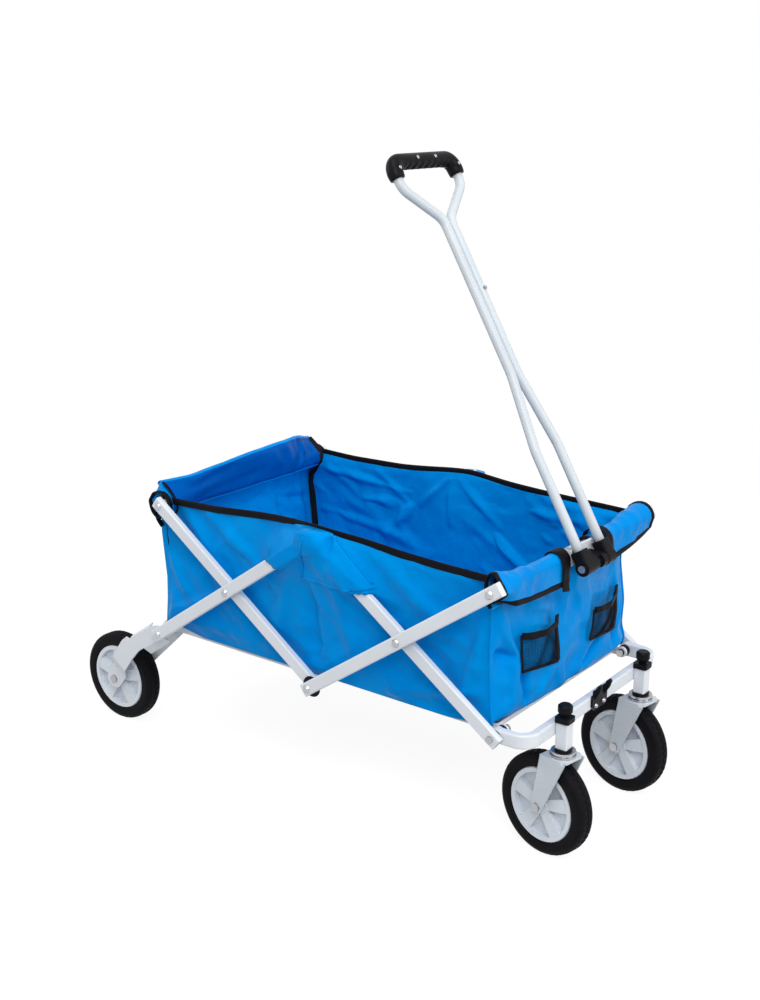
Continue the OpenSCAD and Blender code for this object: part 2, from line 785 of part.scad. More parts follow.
// pivot bolt, tube rivet and the grip's screws
module handle_bolts() {
  color([0.6, 0.6, 0.62]) at_handle() {
    bar([0, 0], foot_y + cap_w / 2, -foot_y - cap_w / 2, pin_d);
    for (s = [-1, 1]) translate([0, s * (foot_y + cap_w / 2 + 1.5), 0]) rotate([90, 0, 0])
      cylinder(d = pin_head_d - 2, h = 3, center = true);
    translate([handle_tube_d / 2 - 2, neck_y, handle_len * 0.674]) rotate([0, 90, 0])
      cylinder(d = 7, h = 3.5);
    at_grip_screws() cylinder(d = 6.5, h = 2.4);
  }
}

// seats of the grip's screws, two along the bar and one in each end lobe
module at_grip_screws() {
  for (y = [-top_y, -26, 26, top_y])
    translate([handle_tube_d / 2 + 0.5, y, handle_len - (abs(y) > 50 ? 14 : 2)]) rotate([0, 90, 0]) children();
}

// radius of the grip's finger grooves
wave = grip_d * 4 / 7;

// one half of the grip: a bar with a shallow wave of finger grooves and two end lobes
module grip_half(side) {
  color([0.06, 0.06, 0.06]) at_handle() difference() {
    union() {
      translate([0, 0, handle_len]) rotate([90, 0, 0]) cylinder(d = grip_d, h = handle_top, center = true);
      both_sides() translate([0, top_y, lobe_z]) {
        cylinder(d1 = grip_d - 2, d2 = grip_d + 3, h = wave / 2);
        translate([0, 0, wave / 2]) cylinder(d = grip_d + 3, h = grip_d);
        translate([0, 0, wave / 2 + grip_d]) cylinder(d1 = grip_d + 3, d2 = grip_d - 6, h = wave * 3 / 8);
      }
    }
    translate([side > 0 ? -60 : 0, -300, handle_len - 100]) cube([60, 600, 200]);
    both_sides() translate([0, top_y, lobe_z - 1]) cylinder(d = handle_tube_d, h = 27);
    for (k = [-1.5 : 1.5]) translate([0, k * 1.5 * wave, handle_len - grip_d / 2 - wave + 3]) rotate([0, 90, 0])
      cylinder(r = wave, h = 60, center = true);
    at_grip_screws() cylinder(d = 8, h = grip_d);
  }
}

module grip_front() { grip_half(1); }
module grip_back() { grip_half(-1); }

front_u_tube();
front_posts();
post_fittings();
front_bolts();
front_washers();
handle_catch();
lock_knob_right();
lock_knob_left();
fork_right();
fork_left();
race_right();
race_left();
caster_axle_right();
caster_axle_left();
hub_front_right();
hub_front_left();
tyre_front_right();
tyre_front_left();
link_c_right();
link_c_left();
pins_c();
link_d_right();
link_d_left();
pins_d();
front_top_tube();
handle_saddle();
hinge_block();
link_b_right();
link_b_left();
pins_b();
link_a_right();
link_a_left();
pins_a();
rear_top_tube();
rear_bracket_right();
rear_bracket_left();
rear_cross_tube();
rear_axles();
hub_rear_right();
hub_rear_left();
tyre_rear_right();
tyre_rear_left();
base_frame_front();
base_board_front();
floor_front();
base_frame_rear();
base_board_rear();
floor_rear();
bag_front_wall();
front_sleeve();
front_pockets();
bag_rear_wall();
bag_side_right();
bag_side_left();
handle_tube_right();
handle_tube_left();
handle_caps();
handle_bolts();
grip_front();
grip_back();
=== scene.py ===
"""Looks of the folding wagon: its sewn bag, handle, treads, materials, stage and camera."""
import json
import math

import bpy
import numpy as np
from mathutils import Matrix, Vector, noise


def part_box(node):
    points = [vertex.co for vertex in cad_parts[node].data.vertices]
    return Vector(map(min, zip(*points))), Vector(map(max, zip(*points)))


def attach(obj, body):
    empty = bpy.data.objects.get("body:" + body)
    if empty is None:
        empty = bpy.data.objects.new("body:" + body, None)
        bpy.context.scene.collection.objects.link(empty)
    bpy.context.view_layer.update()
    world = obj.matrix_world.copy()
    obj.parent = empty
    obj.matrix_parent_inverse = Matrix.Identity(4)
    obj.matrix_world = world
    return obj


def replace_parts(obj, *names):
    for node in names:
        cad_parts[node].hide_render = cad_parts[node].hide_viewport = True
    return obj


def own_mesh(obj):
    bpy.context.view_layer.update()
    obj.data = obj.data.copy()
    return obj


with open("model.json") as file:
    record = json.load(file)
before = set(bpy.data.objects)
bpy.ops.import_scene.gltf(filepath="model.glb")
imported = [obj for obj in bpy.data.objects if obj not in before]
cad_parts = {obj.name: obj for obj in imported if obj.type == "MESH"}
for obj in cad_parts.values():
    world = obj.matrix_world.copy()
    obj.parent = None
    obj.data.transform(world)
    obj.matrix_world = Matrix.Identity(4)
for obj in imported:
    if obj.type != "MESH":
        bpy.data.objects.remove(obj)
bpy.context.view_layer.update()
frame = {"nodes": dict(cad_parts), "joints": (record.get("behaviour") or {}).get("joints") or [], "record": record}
nodes = frame["nodes"]
scene = bpy.context.scene

RIGHT, LEFT = -1, 1     # sides of the wagon, as the sign of Y
SIDES = ((RIGHT, "right"), (LEFT, "left"))
AHEAD, ACROSS, UPWARD = Vector((1, 0, 0)), Vector((0, 1, 0)), Vector((0, 0, 1))


def middle(node_name):
    lo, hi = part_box(node_name)
    return (lo + hi) / 2


TF = middle("front_top_tube")
TR = middle("rear_top_tube")
X_MID = (TF.x + TR.x) / 2
FLOOR_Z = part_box("floor_front")[1].z
Y_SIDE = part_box("base_frame_rear")[1].y + 0.0015    # the sides hang just outside the base's rails
Y_WALL = Y_SIDE - 0.0006                            # half the width of the front and rear walls
SLEEVE_R = 0.0136                                   # a sleeve lies on its top tube at this radius
CLOTH, THIN_CLOTH = 0.0012, 0.001                  # thickness of the walls, and of lining and patches

# ---- shader helpers


MATS = {}


def tree(name):
    """New material, kept in MATS under its name: its tree and its shader."""
    mat = bpy.data.materials.new(name)
    MATS[name] = mat
    mat.use_nodes = True
    return mat.node_tree, mat.node_tree.nodes["Principled BSDF"]


def node(nt, kind, **values):
    """New shader node. A value goes to the input of its name, or else to the node's own setting."""
    made = nt.nodes.new(kind)
    for key, value in values.items():
        if key in made.inputs:
            made.inputs[key].default_value = value
        else:
            setattr(made, key, value)
    return made


def noise_at(nt, coords, scale, detail=3.0, rough=0.5, **more):
    tex = node(nt, "ShaderNodeTexNoise", Scale=scale, Detail=detail, Roughness=rough, **more)
    nt.links.new(coords.outputs["Object"], tex.inputs["Vector"])
    return tex.outputs["Fac"]


def remap(nt, socket, low, high, start=0.3, stop=0.7):
    made = node(nt, "ShaderNodeMapRange")
    made.inputs["From Min"].default_value = start
    made.inputs["From Max"].default_value = stop
    made.inputs["To Min"].default_value = low
    made.inputs["To Max"].default_value = high
    nt.links.new(socket, made.inputs["Value"])
    return made.outputs["Result"]


def mix_colour(nt, factor, a, b):
    made = node(nt, "ShaderNodeMix", data_type="RGBA")
    nt.links.new(factor, made.inputs[0])
    made.inputs[6].default_value = (*a, 1)
    made.inputs[7].default_value = (*b, 1)
    return made.outputs[2]


def bump(nt, height, distance, strength, before=None):
    made = node(nt, "ShaderNodeBump", Distance=distance, Strength=strength)
    nt.links.new(height, made.inputs["Height"])
    if before is not None:
        nt.links.new(before, made.inputs["Normal"])
    return made.outputs["Normal"]


def maths(nt, kind, a, b):
    made = node(nt, "ShaderNodeMath", operation=kind)
    nt.links.new(a, made.inputs[0])
    nt.links.new(b, made.inputs[1])
    return made.outputs[0]


def seen(nt):
    """1 for a ray from the camera, from a glossy surface or through a clear one, and otherwise 0."""
    rays = node(nt, "ShaderNodeLightPath")
    direct = maths(nt, "MAXIMUM", rays.outputs["Is Camera Ray"], rays.outputs["Is Glossy Ray"])
    return maths(nt, "MAXIMUM", direct, rays.outputs["Is Transmission Ray"])


def threads(nt, coords, pitch):
    """Plain weave: bands along each axis, so that it shows on cloth of any direction."""
    waves = []
    for axis in "XYZ":
        tex = node(nt, "ShaderNodeTexWave", wave_type="BANDS", bands_direction=axis,
                   Scale=1 / pitch * 0.05, Distortion=0.6)
        tex.inputs["Detail Scale"].default_value = 2.0
        nt.links.new(coords.outputs["Object"], tex.inputs["Vector"])
        waves.append(tex.outputs["Fac"])
    return maths(nt, "ADD", maths(nt, "MULTIPLY", waves[0], waves[2]), waves[1])


# ---- materials


def hard(name, colour, other, rough, grain, rounding=0.0, metallic=0.0, spread=0.06, depth=0.00008,
         specular=0.5):
    """Moulded, painted or plated surface: mottled colour, uneven gloss, fine grain and softened edges."""
    nt, bsdf = tree(name)
    coords = node(nt, "ShaderNodeTexCoord")
    mottle = remap(nt, noise_at(nt, coords, 9.0, 4.0), 0, 1)
    nt.links.new(mix_colour(nt, mottle, colour, other), bsdf.inputs["Base Color"])
    gloss = remap(nt, noise_at(nt, coords, 38.0, 5.0), rough - spread, rough + spread)
    nt.links.new(gloss, bsdf.inputs["Roughness"])
    bsdf.inputs["Metallic"].default_value = metallic
    bsdf.inputs["Specular IOR Level"].default_value = specular
    soft = None
    if rounding:
        soft = node(nt, "ShaderNodeBevel", samples=4, Radius=rounding).outputs["Normal"]
    nt.links.new(bump(nt, noise_at(nt, coords, grain, 2.0), depth, 0.6, soft), bsdf.inputs["Normal"])


def fabric(name, colour, shade, rough, pitch=0.0009, crinkle=0.003, weave=0.00012, specular=0.06, tint=None,
           ridges=0.0):
    """Cloth: threads, fine crinkles and soft waves under one another, with colour that wanders a little."""
    nt, bsdf = tree(name)
    coords = node(nt, "ShaderNodeTexCoord")
    wander = remap(nt, noise_at(nt, coords, 7.0, 5.0, 0.6), 0, 1)
    nt.links.new(mix_colour(nt, wander, colour, shade), bsdf.inputs["Base Color"])
    small = noise_at(nt, coords, 55.0, 5.0, 0.6)
    nt.links.new(remap(nt, small, rough - 0.07, rough + 0.07), bsdf.inputs["Roughness"])
    bsdf.inputs["Specular IOR Level"].default_value = specular
    if tint:
        bsdf.inputs["Specular Tint"].default_value = (*tint, 1)
    normal = bump(nt, noise_at(nt, coords, 26.0, 6.0, 0.55, Distortion=0.8), crinkle, 0.55)
    if ridges:
        creases = noise_at(nt, coords, 9.0, 3.0, 0.4, noise_type="RIDGED_MULTIFRACTAL", Distortion=0.5)
        normal = bump(nt, creases, ridges, 0.5, normal)
    normal = bump(nt, small, crinkle * 0.4, 0.35, normal)
    normal = bump(nt, threads(nt, coords, pitch), weave, 0.5, normal)
    nt.links.new(normal, bsdf.inputs["Normal"])


def rubber(name, colour, other, rough):
    """Dusty black rubber with fine pores."""
    nt, bsdf = tree(name)
    coords = node(nt, "ShaderNodeTexCoord")
    dust = noise_at(nt, coords, 30.0, 5.0, 0.6)
    nt.links.new(mix_colour(nt, remap(nt, dust, 0, 1, 0.35, 0.75), colour, other), bsdf.inputs["Base Color"])
    nt.links.new(remap(nt, dust, rough - 0.06, rough + 0.08), bsdf.inputs["Roughness"])
    nt.links.new(bump(nt, noise_at(nt, coords, 900.0, 2.0), 0.00015, 0.5), bsdf.inputs["Normal"])
    bsdf.inputs["Specular IOR Level"].default_value = 0.06


NYLON = {"tint": (0.0, 0.4, 1.0), "ridges": 0.01}
STEEL = {"metallic": 1.0, "spread": 0.09}
hard("white_paint", (0.69, 0.725, 0.77), (0.655, 0.69, 0.735), 0.34, 420.0, 0.0009, specular=0.35)
# the handle's white paint made darker: painted shade on its tubes
hard("handle_painted_shade", (0.56, 0.605, 0.645), (0.52, 0.565, 0.605), 0.36, 420.0, 0.0009, specular=0.35)
hard("rail_steel", (0.7, 0.725, 0.76), (0.66, 0.69, 0.72), 0.38, 420.0, 0.0007, specular=0.3)
hard("zinc", (0.52, 0.53, 0.55), (0.42, 0.43, 0.45), 0.3, 700.0, 0.0005, **STEEL)
hard("bolt_steel", (0.48, 0.48, 0.5), (0.36, 0.36, 0.38), 0.34, 700.0, 0.0005, **STEEL)
hard("black_plastic", (0.0045, 0.0045, 0.006), (0.0085, 0.0085, 0.011), 0.42, 1300.0, 0.0006,
     depth=0.00012, specular=0.07)
hard("hub_plastic", (0.68, 0.73, 0.79), (0.64, 0.69, 0.75), 0.4, 600.0, 0.0009)
rubber("tyre", (0.0035, 0.0035, 0.005), (0.0075, 0.0075, 0.0095), 0.6)
hard("board", (0.022, 0.022, 0.025), (0.034, 0.034, 0.038), 0.6, 300.0, depth=0.0002)
fabric("blue_fabric", (0.0, 0.272, 0.72), (0.0, 0.205, 0.61), 0.34, **NYLON)
# darker blue for the rear sleeve's doubled band: painted shade, not a different cloth
fabric("blue_painted_shade", (0.0, 0.095, 0.42), (0.0, 0.08, 0.37), 0.4, specular=0.1, **NYLON)
fabric("mesh", (0.004, 0.004, 0.006), (0.008, 0.008, 0.011), 0.6, crinkle=0.0004)
hard("fork_plating", (0.58, 0.63, 0.68), (0.5, 0.55, 0.6), 0.3, 260.0, 0.0007, spread=0.08, specular=0.6)
hard("grip_foam", (0.0045, 0.0045, 0.006), (0.008, 0.008, 0.01), 0.36, 900.0, 0.0012, depth=0.0001,
     specular=0.07)
fabric("black_webbing", (0.003, 0.003, 0.005), (0.0075, 0.0075, 0.0095), 0.55, pitch=0.0018,
       crinkle=0.0005, weave=0.0003)


def paint(node_name, mat):
    slots = nodes[node_name].data.materials
    slots.clear()
    slots.append(mat)


for part in frame["record"]["subparts"]:
    paint(part["node"], MATS[part["material_slot"]])
for side, tag in SIDES:
    paint("fork_" + tag, MATS["fork_plating"])

# ---- mesh helpers


def make(name, verts_faces, mat, body, smooth=True):
    """New piece from its vertices and faces, which rides on body and takes its finish from mat."""
    verts, faces = verts_faces
    mesh = bpy.data.meshes.new(name)
    mesh.from_pydata([tuple(v) for v in verts], [], faces)
    mesh.update()
    if smooth:
        mesh.shade_smooth()
    mesh.materials.append(mat)
    ob = bpy.data.objects.new(name, mesh)
    scene.collection.objects.link(ob)
    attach(ob, body)
    return ob


def cloth(name, verts_faces, body, thickness=CLOTH):
    """Panel of blue cloth, with half of its thickness on each side of the mesh."""
    ob = make(name, verts_faces, MATS["blue_fabric"], body)
    solid = ob.modifiers.new("Thickness", "SOLIDIFY")
    solid.thickness = thickness
    solid.offset = 0.0
    solid.use_rim = True
    return ob


def quads(nu, nv, flip):
    """Faces of nu by nv cells, whose corner points are listed row by row."""
    faces = []
    for j in range(nv):
        for i in range(nu):
            a = j * (nu + 1) + i
            quad = (a, a + 1, a + nu + 2, a + nu + 1)
            faces.append(quad[::-1] if flip else quad)
    return faces


def grid(nu, nv, point, flip=False):
    """Vertices and faces of point(u, v), with u and v from 0 to 1."""
    return [point(i / nu, j / nv) for j in range(nv + 1) for i in range(nu + 1)], quads(nu, nv, flip)


def ring_faces(m, n, flip=False, closed=False, capped=True):
    """Faces between m rings of n points, in a closed loop or in a run with or without caps."""
    faces = []
    for k in range(m if closed else m - 1):
        for i in range(n):
            j, q = (i + 1) % n, (k + 1) % m * n
            quad = (k * n + i, k * n + j, q + j, q + i)
            faces.append(quad[:1] + quad[:0:-1] if flip else quad)
    if capped and not closed:
        caps = [tuple(range(n))[::-1], tuple((m - 1) * n + i for i in range(n))]
        faces += [cap[::-1] for cap in caps] if flip else caps
    return faces


def around(n):
    """Cosine and sine of n even steps round a circle."""
    return [(math.cos(2 * math.pi * i / n), math.sin(2 * math.pi * i / n)) for i in range(n)]


def sweep(path, width, thick, wide, closed=False, n=10):
    """Flat band along path, with a rounded section: width towards the vector wide, and thick across it."""
    verts = []
    m = len(path)
    for k, p in enumerate(path):
        before = path[k - 1] if closed or k else p
        after = path[(k + 1) % m] if closed or k < m - 1 else p
        along = (after - before).normalized()
        up = (wide - along * wide.dot(along)).normalized()
        out = along.cross(up)
        for c, s in around(n):
            to_edge = math.copysign(abs(c) ** 0.5, c) * width / 2
            to_face = math.copysign(abs(s) ** 0.7, s) * thick / 2
            verts.append(p + up * to_edge + out * to_face)
    return verts, ring_faces(m, n, closed=closed)


def ribbon(name, path, width, thick, wide, body="bag_front", mat=MATS["black_webbing"], slot="blue_fabric",
           **shape):
    """Piece of binding, webbing or piping along path."""
    return make(name, sweep(path, width, thick, wide, **shape), mat, body)


def resample(points, step):
    """Smooth curve through points, cut into pieces of about one step."""
    pts = [Vector(p) for p in points]
    full = [pts[0] * 2 - pts[1]] + pts + [pts[-1] * 2 - pts[-2]]
    out = []
    for i in range(1, len(full) - 2):
        p0, p1, p2, p3 = full[i - 1:i + 3]
        count = max(2, int((p2 - p1).length / step))
        for k in range(count):
            t = k / count
            out.append(0.5 * (2 * p1 + (p2 - p0) * t + (2 * p0 - 5 * p1 + 4 * p2 - p3) * t * t
                              + (3 * p1 - p0 - 3 * p2 + p3) * t ** 3))
    out.append(pts[-1])
    return out


def between(low, high, count):
    return map(float, np.linspace(low, high, count))


def table(x, xs, ys):
    return float(np.interp(x, xs, ys))


def smooth_table(y, ys, zs, step=0.006):
    """Table whose corners are rounded over four steps."""
    return sum(table(y + k * step, ys, zs) for k in (-2, -1, 0, 1, 2)) / 5


def ease(t):
    """From 0 to 1 with flat ends."""
    t = min(1.0, max(0.0, t))
    return t * t * (3 - 2 * t)


def inset(u, low, high=None):
    """1 on most of a sheet, falling to 0 over the shares low and high at the two ends of u."""
    return ease(u / low) * ease((1 - u) / (high or low))


def ripple(x, y, z, scale, size):
    """Soft, slow waves."""
    return noise.noise(Vector((x * scale, y * scale, z * scale))) * size


def sharp(x, z, seed, scale, size, turn=0.0):
    """Crumpled cloth: ridges with soft valleys, drawn out to twice their width along a direction."""
    c, s = math.cos(turn), math.sin(turn)
    a, b = (c * x + s * z) * 0.5, -s * x + c * z
    n = noise.noise(Vector((a * scale + seed, b * scale, seed * 1.7)))
    return (0.3 - abs(n)) * 2 * size


def crease(a, b, lines):
    """Height of single folds at a, b. A line is its two ends, its width and its height."""
    total = 0.0
    for a0, b0, a1, b1, width, height in lines:
        da, db = a1 - a0, b1 - b0
        t = ((a - a0) * da + (b - b0) * db) / (da * da + db * db)
        t_in = min(1.0, max(0.0, t))
        d = math.hypot(a - a0 - t_in * da, b - b0 - t_in * db) / width
        fade = 0.35 + 0.65 * math.sin(math.pi * min(1, max(0, 0.08 + 0.84 * t_in)))
        total += height * math.exp(-d * d) * fade
    return total


# ---- outline of the bag's sides
RIM = {
    RIGHT: ([-0.33, -0.189, -0.066, 0.016, 0.061, 0.13, 0.223, 0.324, 0.436],
            [0.499, 0.5045, 0.516, 0.5225, 0.524, 0.5165, 0.507, 0.5025, 0.501]),
    LEFT: ([-0.331, -0.217, -0.087, 0.012, 0.061, 0.106, 0.264, 0.405, 0.436],
           [0.507, 0.5035, 0.507, 0.515, 0.518, 0.5165, 0.511, 0.508, 0.507]),
}
REAR_Z = [0.236, 0.3, 0.343, 0.434, 0.48, 0.53]
REAR_X = [-0.331, -0.325, -0.324, -0.334, -0.331, -0.33]
LEFT_Z = [0.236, 0.262, 0.289, 0.339, 0.414, 0.5]
LEFT_X = [0.418, 0.43, 0.421, 0.423, 0.4115, 0.418]
RIGHT_Z = [0.236, 0.262, 0.358, 0.449, 0.5]
RIGHT_X = [0.4235, 0.417, 0.411, 0.412, 0.418]
LOW_X = [-0.34, -0.285, -0.23, 0.33, 0.395, 0.43]
LOW_Z = [0.25, 0.246, 0.2385, 0.2385, 0.244, 0.25]


def rear_x(z):
    return table(z, REAR_Z, REAR_X)


def front_x(z, side):
    """Front edge of a side, for RIGHT, LEFT or anywhere between the two."""
    right = table(z, RIGHT_Z, RIGHT_X)
    left = sum(table(z + k * 0.006, LEFT_Z, LEFT_X) for k in (-1, 0, 1)) / 3
    return right + (left - right) * (side + 1) / 2


def low_z(x):
    return table(x, LOW_X, LOW_Z)


def rim_y(x):
    """The rim stands out where it goes over the centre joints."""
    return Y_SIDE + 0.0165 * math.exp(-((x - X_MID) / 0.08) ** 2)


def rim_z(side, x):
    total, weight = 0.0, 0.0
    for k in range(-3, 4):
        w = math.exp(-(k / 2) ** 2)
        total += w * table(x + k * 0.01, *RIM[side])
        weight += w
    return total / weight


# ---- where the links hold the sides
LINK_ANGLE = math.radians(35.2)
RISE, RUN = math.sin(LINK_ANGLE), math.cos(LINK_ANGLE)
LINK_LENGTH = 0.457             # between a link's end pivots
LINK_HALF = 0.0138              # half the width of a link, with a little room
INNER = (0.237, 0.25)          # near and far face of the two layers of links
OUTER = (0.253, 0.266)
PLAY, OVER = 0.0024, 0.0018     # room of the cloth's middle inside a link, and over one that it covers
FREE = 0.434                    # further out than any link
CENTRE_Z = 0.502               # the upper centre joint
BOLT_Z = middle("front_bolts").z
PIVOTS = {"a": (TR.x, TR.z), "b": (TR.x, BOLT_Z), "c": (TF.x, BOLT_Z), "d": (TF.x, TF.z)}


def on_link(x, z, end, rising):
    """Distance along and across a link that starts at end and rises or falls towards the middle."""
    toward = 1 if end[0] < X_MID else -1
    ax, az = toward * RUN, (1 if rising else -1) * RISE
    dx, dz = x - end[0], z - end[1]
    return dx * ax + dz * az, dz * ax * toward - dx * az * toward


def slit_b(x):
    """Height above which the cloth covers link b."""
    return 0.4505 - 0.47 * (x + 0.033)


def slit_c(x):
    """Height above which the cloth covers link c."""
    return 0.4245 + 0.19 * (x - 0.152)


def limits(x, z):
    """Least and greatest distance out for the cloth: outside the links' hidden tops, and inside the rest."""
    least, most = 0.0, FREE
    a, p = on_link(x, z, PIVOTS["a"], False)
    if -0.02 < a < LINK_LENGTH + 0.012 and abs(p) < LINK_HALF + 0.002:
        most = min(most, INNER[0] - PLAY - 0.002)
    a, p = on_link(x, z, PIVOTS["d"], False)
    if -0.03 < a < LINK_LENGTH + 0.012 and abs(p) < LINK_HALF + 0.002:
        most = min(most, OUTER[0] - PLAY)
    for key, slit, (inside, outside) in (("b", slit_b, OUTER), ("c", slit_c, INNER)):
        a, p = on_link(x, z, PIVOTS[key], True)
        if -0.02 < a < LINK_LENGTH + 0.0135 and abs(p) < LINK_HALF:
            if z > slit(x):
                least = max(least, outside + OVER)
            else:
                most = min(most, inside - PLAY)
    knob = math.hypot(x - X_MID, z - CENTRE_Z) / 0.024
    if knob < 1:
        least = max(least, OUTER[1] + OVER + 0.0042 * (1 - knob * knob))
    return least, most


# ---- sides of the bag
SIDE_FOLDS = {
    RIGHT: [
        (-0.3, 0.48, -0.2, 0.36, 0.02, -0.0045), (-0.27, 0.49, -0.12, 0.3, 0.022, 0.005),
        (-0.22, 0.5, -0.05, 0.4, 0.014, 0.004), (0.04, 0.41, 0.05, 0.28, 0.014, -0.006),
        (0.1, 0.42, 0.14, 0.3, 0.02, 0.005), (0.0, 0.42, -0.06, 0.27, 0.018, 0.0045),
        (0.4, 0.48, 0.3, 0.33, 0.018, -0.005), (0.405, 0.42, 0.36, 0.28, 0.012, 0.0045),
        (0.2, 0.49, 0.34, 0.38, 0.018, 0.0045), (-0.31, 0.28, -0.12, 0.27, 0.014, 0.004),
        (0.4, 0.3, 0.22, 0.26, 0.012, 0.004), (-0.32, 0.26, -0.2, 0.33, 0.012, 0.004),
        (0.095, 0.521, 0.098, 0.49, 0.0055, -0.006), (-0.32, 0.4, -0.27, 0.33, 0.012, 0.0035),
    ],
    LEFT: [
        (0.02, 0.5, -0.065, 0.41, 0.008, -0.0085), (-0.055, 0.425, -0.085, 0.4, 0.01, 0.008),
        (0.03, 0.5, 0.03, 0.36, 0.009, -0.009), (0.04, 0.5, 0.22, 0.34, 0.012, 0.01),
        (0.05, 0.5, 0.26, 0.42, 0.01, 0.0085), (0.07, 0.49, 0.2, 0.3, 0.011, -0.008),
        (-0.02, 0.47, -0.12, 0.36, 0.013, 0.007), (-0.3, 0.475, -0.06, 0.455, 0.009, 0.0065),
        (-0.28, 0.435, -0.1, 0.4, 0.01, -0.007), (-0.29, 0.38, -0.08, 0.36, 0.012, 0.0065),
        (-0.25, 0.41, -0.12, 0.43, 0.008, 0.006), (0.3, 0.48, 0.4, 0.36, 0.013, -0.0065),
        (0.36, 0.49, 0.41, 0.44, 0.009, 0.0055), (0.16, 0.47, 0.33, 0.47, 0.01, 0.006),
        (0.14, 0.4, 0.3, 0.31, 0.012, 0.007),
    ],
}
FOLD_GAIN = {RIGHT: 2.0, LEFT: 1.5}
LINER_FOLDS = [
    (-0.285, 0.485, -0.15, 0.4, 0.01, 0.0046), (-0.23, 0.495, -0.12, 0.445, 0.007, -0.004),
    (-0.15, 0.49, -0.06, 0.43, 0.008, 0.0046), (-0.095, 0.495, -0.03, 0.4, 0.009, -0.0044),
    (0.025, 0.5, -0.045, 0.43, 0.007, 0.006), (0.03, 0.5, 0.035, 0.41, 0.007, 0.006),
    (0.05, 0.5, 0.15, 0.425, 0.008, 0.006), (0.1, 0.49, 0.235, 0.455, 0.007, -0.0044),
    (0.215, 0.49, 0.33, 0.425, 0.009, 0.0046), (0.405, 0.47, 0.275, 0.37, 0.01, 0.005),
    (0.34, 0.48, 0.24, 0.42, 0.006, -0.004), (-0.26, 0.43, -0.04, 0.34, 0.013, 0.0046),
    (-0.02, 0.4, 0.16, 0.33, 0.013, -0.005), (0.08, 0.42, 0.25, 0.33, 0.01, 0.0044),
]
PATCH = [(0.064, 0.519), (0.036, 0.4285), (0.11, 0.427), (0.164, 0.4325), (0.194, 0.4405), (0.149, 0.48),
         (0.1, 0.519)]
PATCH_SEAMS = {
    "a": [(0.0625, 0.514), (0.0519, 0.48), (0.0396, 0.44), (0.036, 0.4285)],
    "b": [(0.036, 0.4285), (0.073, 0.4278), (0.11, 0.427), (0.15, 0.431)],
    "c": [(0.108, 0.512), (0.128, 0.497), (0.149, 0.48), (0.186, 0.4475)],
}
NU, NV = 226, 84                # cells along a side and up it
HOLD = (0.0034 / 0.05) ** 2     # how firmly the cloth keeps to its plain place: cell over reach, squared
ROUNDS = 700                    # of smoothing


def membrane(base, least, most):
    """Cloth stretched over the links: fixed at its edges, and drawn softly back to its plain place."""
    h = np.minimum(np.maximum(base, least), most)
    edge = np.ones(h.shape, bool)
    edge[1:-1, 1:-1] = False
    for _ in range(ROUNDS):
        new = h.copy()
        new[1:-1, 1:-1] = (h[:-2, 1:-1] + h[2:, 1:-1] + h[1:-1, :-2] + h[1:-1, 2:]
                           + HOLD * base[1:-1, 1:-1]) / (4 + HOLD)
        new = np.minimum(np.maximum(new, least), most)
        new[edge] = base[edge]
        h = new
    return h


class SideSheet:
    """Outer cloth of one side, as rows of points from the hem up to the rim."""

    def __init__(self, side):
        self.side = side
        self.x, self.z, self.base, least, most = (np.zeros((NV + 1, NU + 1)) for _ in range(5))
        for j in range(NV + 1):
            for i in range(NU + 1):
                x, z = self.place(i / NU, j / NV)
                swell = max(0.0, (j / NV - 0.7) / 0.3) ** 1.5
                self.x[j, i], self.z[j, i] = x, z
                self.base[j, i] = Y_SIDE + (rim_y(x) - Y_SIDE) * swell
                least[j, i], most[j, i] = limits(x, z)
        self.y = membrane(self.base, least, most)
        for j in range(1, NV):
            for i in range(1, NU):
                y = self.y[j, i] + self.fold(i / NU, j / NV, float(self.x[j, i]), float(self.z[j, i]))
                self.y[j, i] = min(max(y, least[j, i]), most[j, i])

    def place(self, u, v):
        """x and z. Ends lean with the height, and the height varies with x, so it takes two steps."""
        x = -0.33 + u * 0.752
        for _ in range(2):
            z = low_z(x) + v * (rim_z(self.side, x) - low_z(x))
            x = rear_x(z) + u * (front_x(z, self.side) - rear_x(z))
        return x, z

    def fold(self, u, v, x, z):
        side = self.side
        rise = crease(x, z, SIDE_FOLDS[side]) * FOLD_GAIN[side]
        rise += ripple(x, side, z * 0.7, 7, 0.007) + sharp(x, z, 3 + side, 12, 0.0062, 0.7)
        rise += sharp(x, z, 9 - side, 25, 0.003, -0.5)
        return max(-0.015, min(0.0125, -side * rise)) * inset(u, 0.03) * inset(v, 0.06)

    def point(self, j, i, lift=0.0):
        return Vector((self.x[j, i], self.side * (float(self.y[j, i]) + lift), self.z[j, i]))

    def surface(self, x, z):
        """Point just outside the cloth, between its own points."""
        near = 1 / ((self.x - x) ** 2 + (self.z - z) ** 2 + 4e-6) ** 2
        return Vector((x, self.side * (float((near * self.y).sum() / near.sum()) + 0.0017), z))


def crumple(ob):
    """Real cloth gathers in pleats as the wagon folds; this one only gets its own copy of its mesh."""
    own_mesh(ob)


def liner(sheet, tag):
    """Inner layer of a side, with its own folds."""
    i0, i1, j0 = 3, NU - 3, 8
    verts = []
    for j in range(j0, NV + 1):
        for i in range(i0, i1 + 1):
            x = float(sheet.x[j, i])
            z = min(float(sheet.z[j, i]), rim_z(sheet.side, x) - 0.005)
            slack = ease((j - j0) / 8) * ease((NV - j) / 6) * ease((i - i0) / 8) * ease((i1 - i) / 8)
            y = min(float(sheet.y[j, i]) - 0.0013, float(sheet.base[j, i]) - 0.0012)
            y -= (abs(sharp(x, z, 5, 17, 0.0034)) + abs(sharp(z, x, 2, 31, 0.0014))
                  + max(-0.0002, crease(x, z, LINER_FOLDS))) * slack
            verts.append(Vector((x, sheet.side * y, z)))
    mesh = verts, quads(i1 - i0, NV - j0, sheet.side == LEFT)
    crumple(cloth("cloth_liner_" + tag, mesh, "bag_front", THIN_CLOTH))


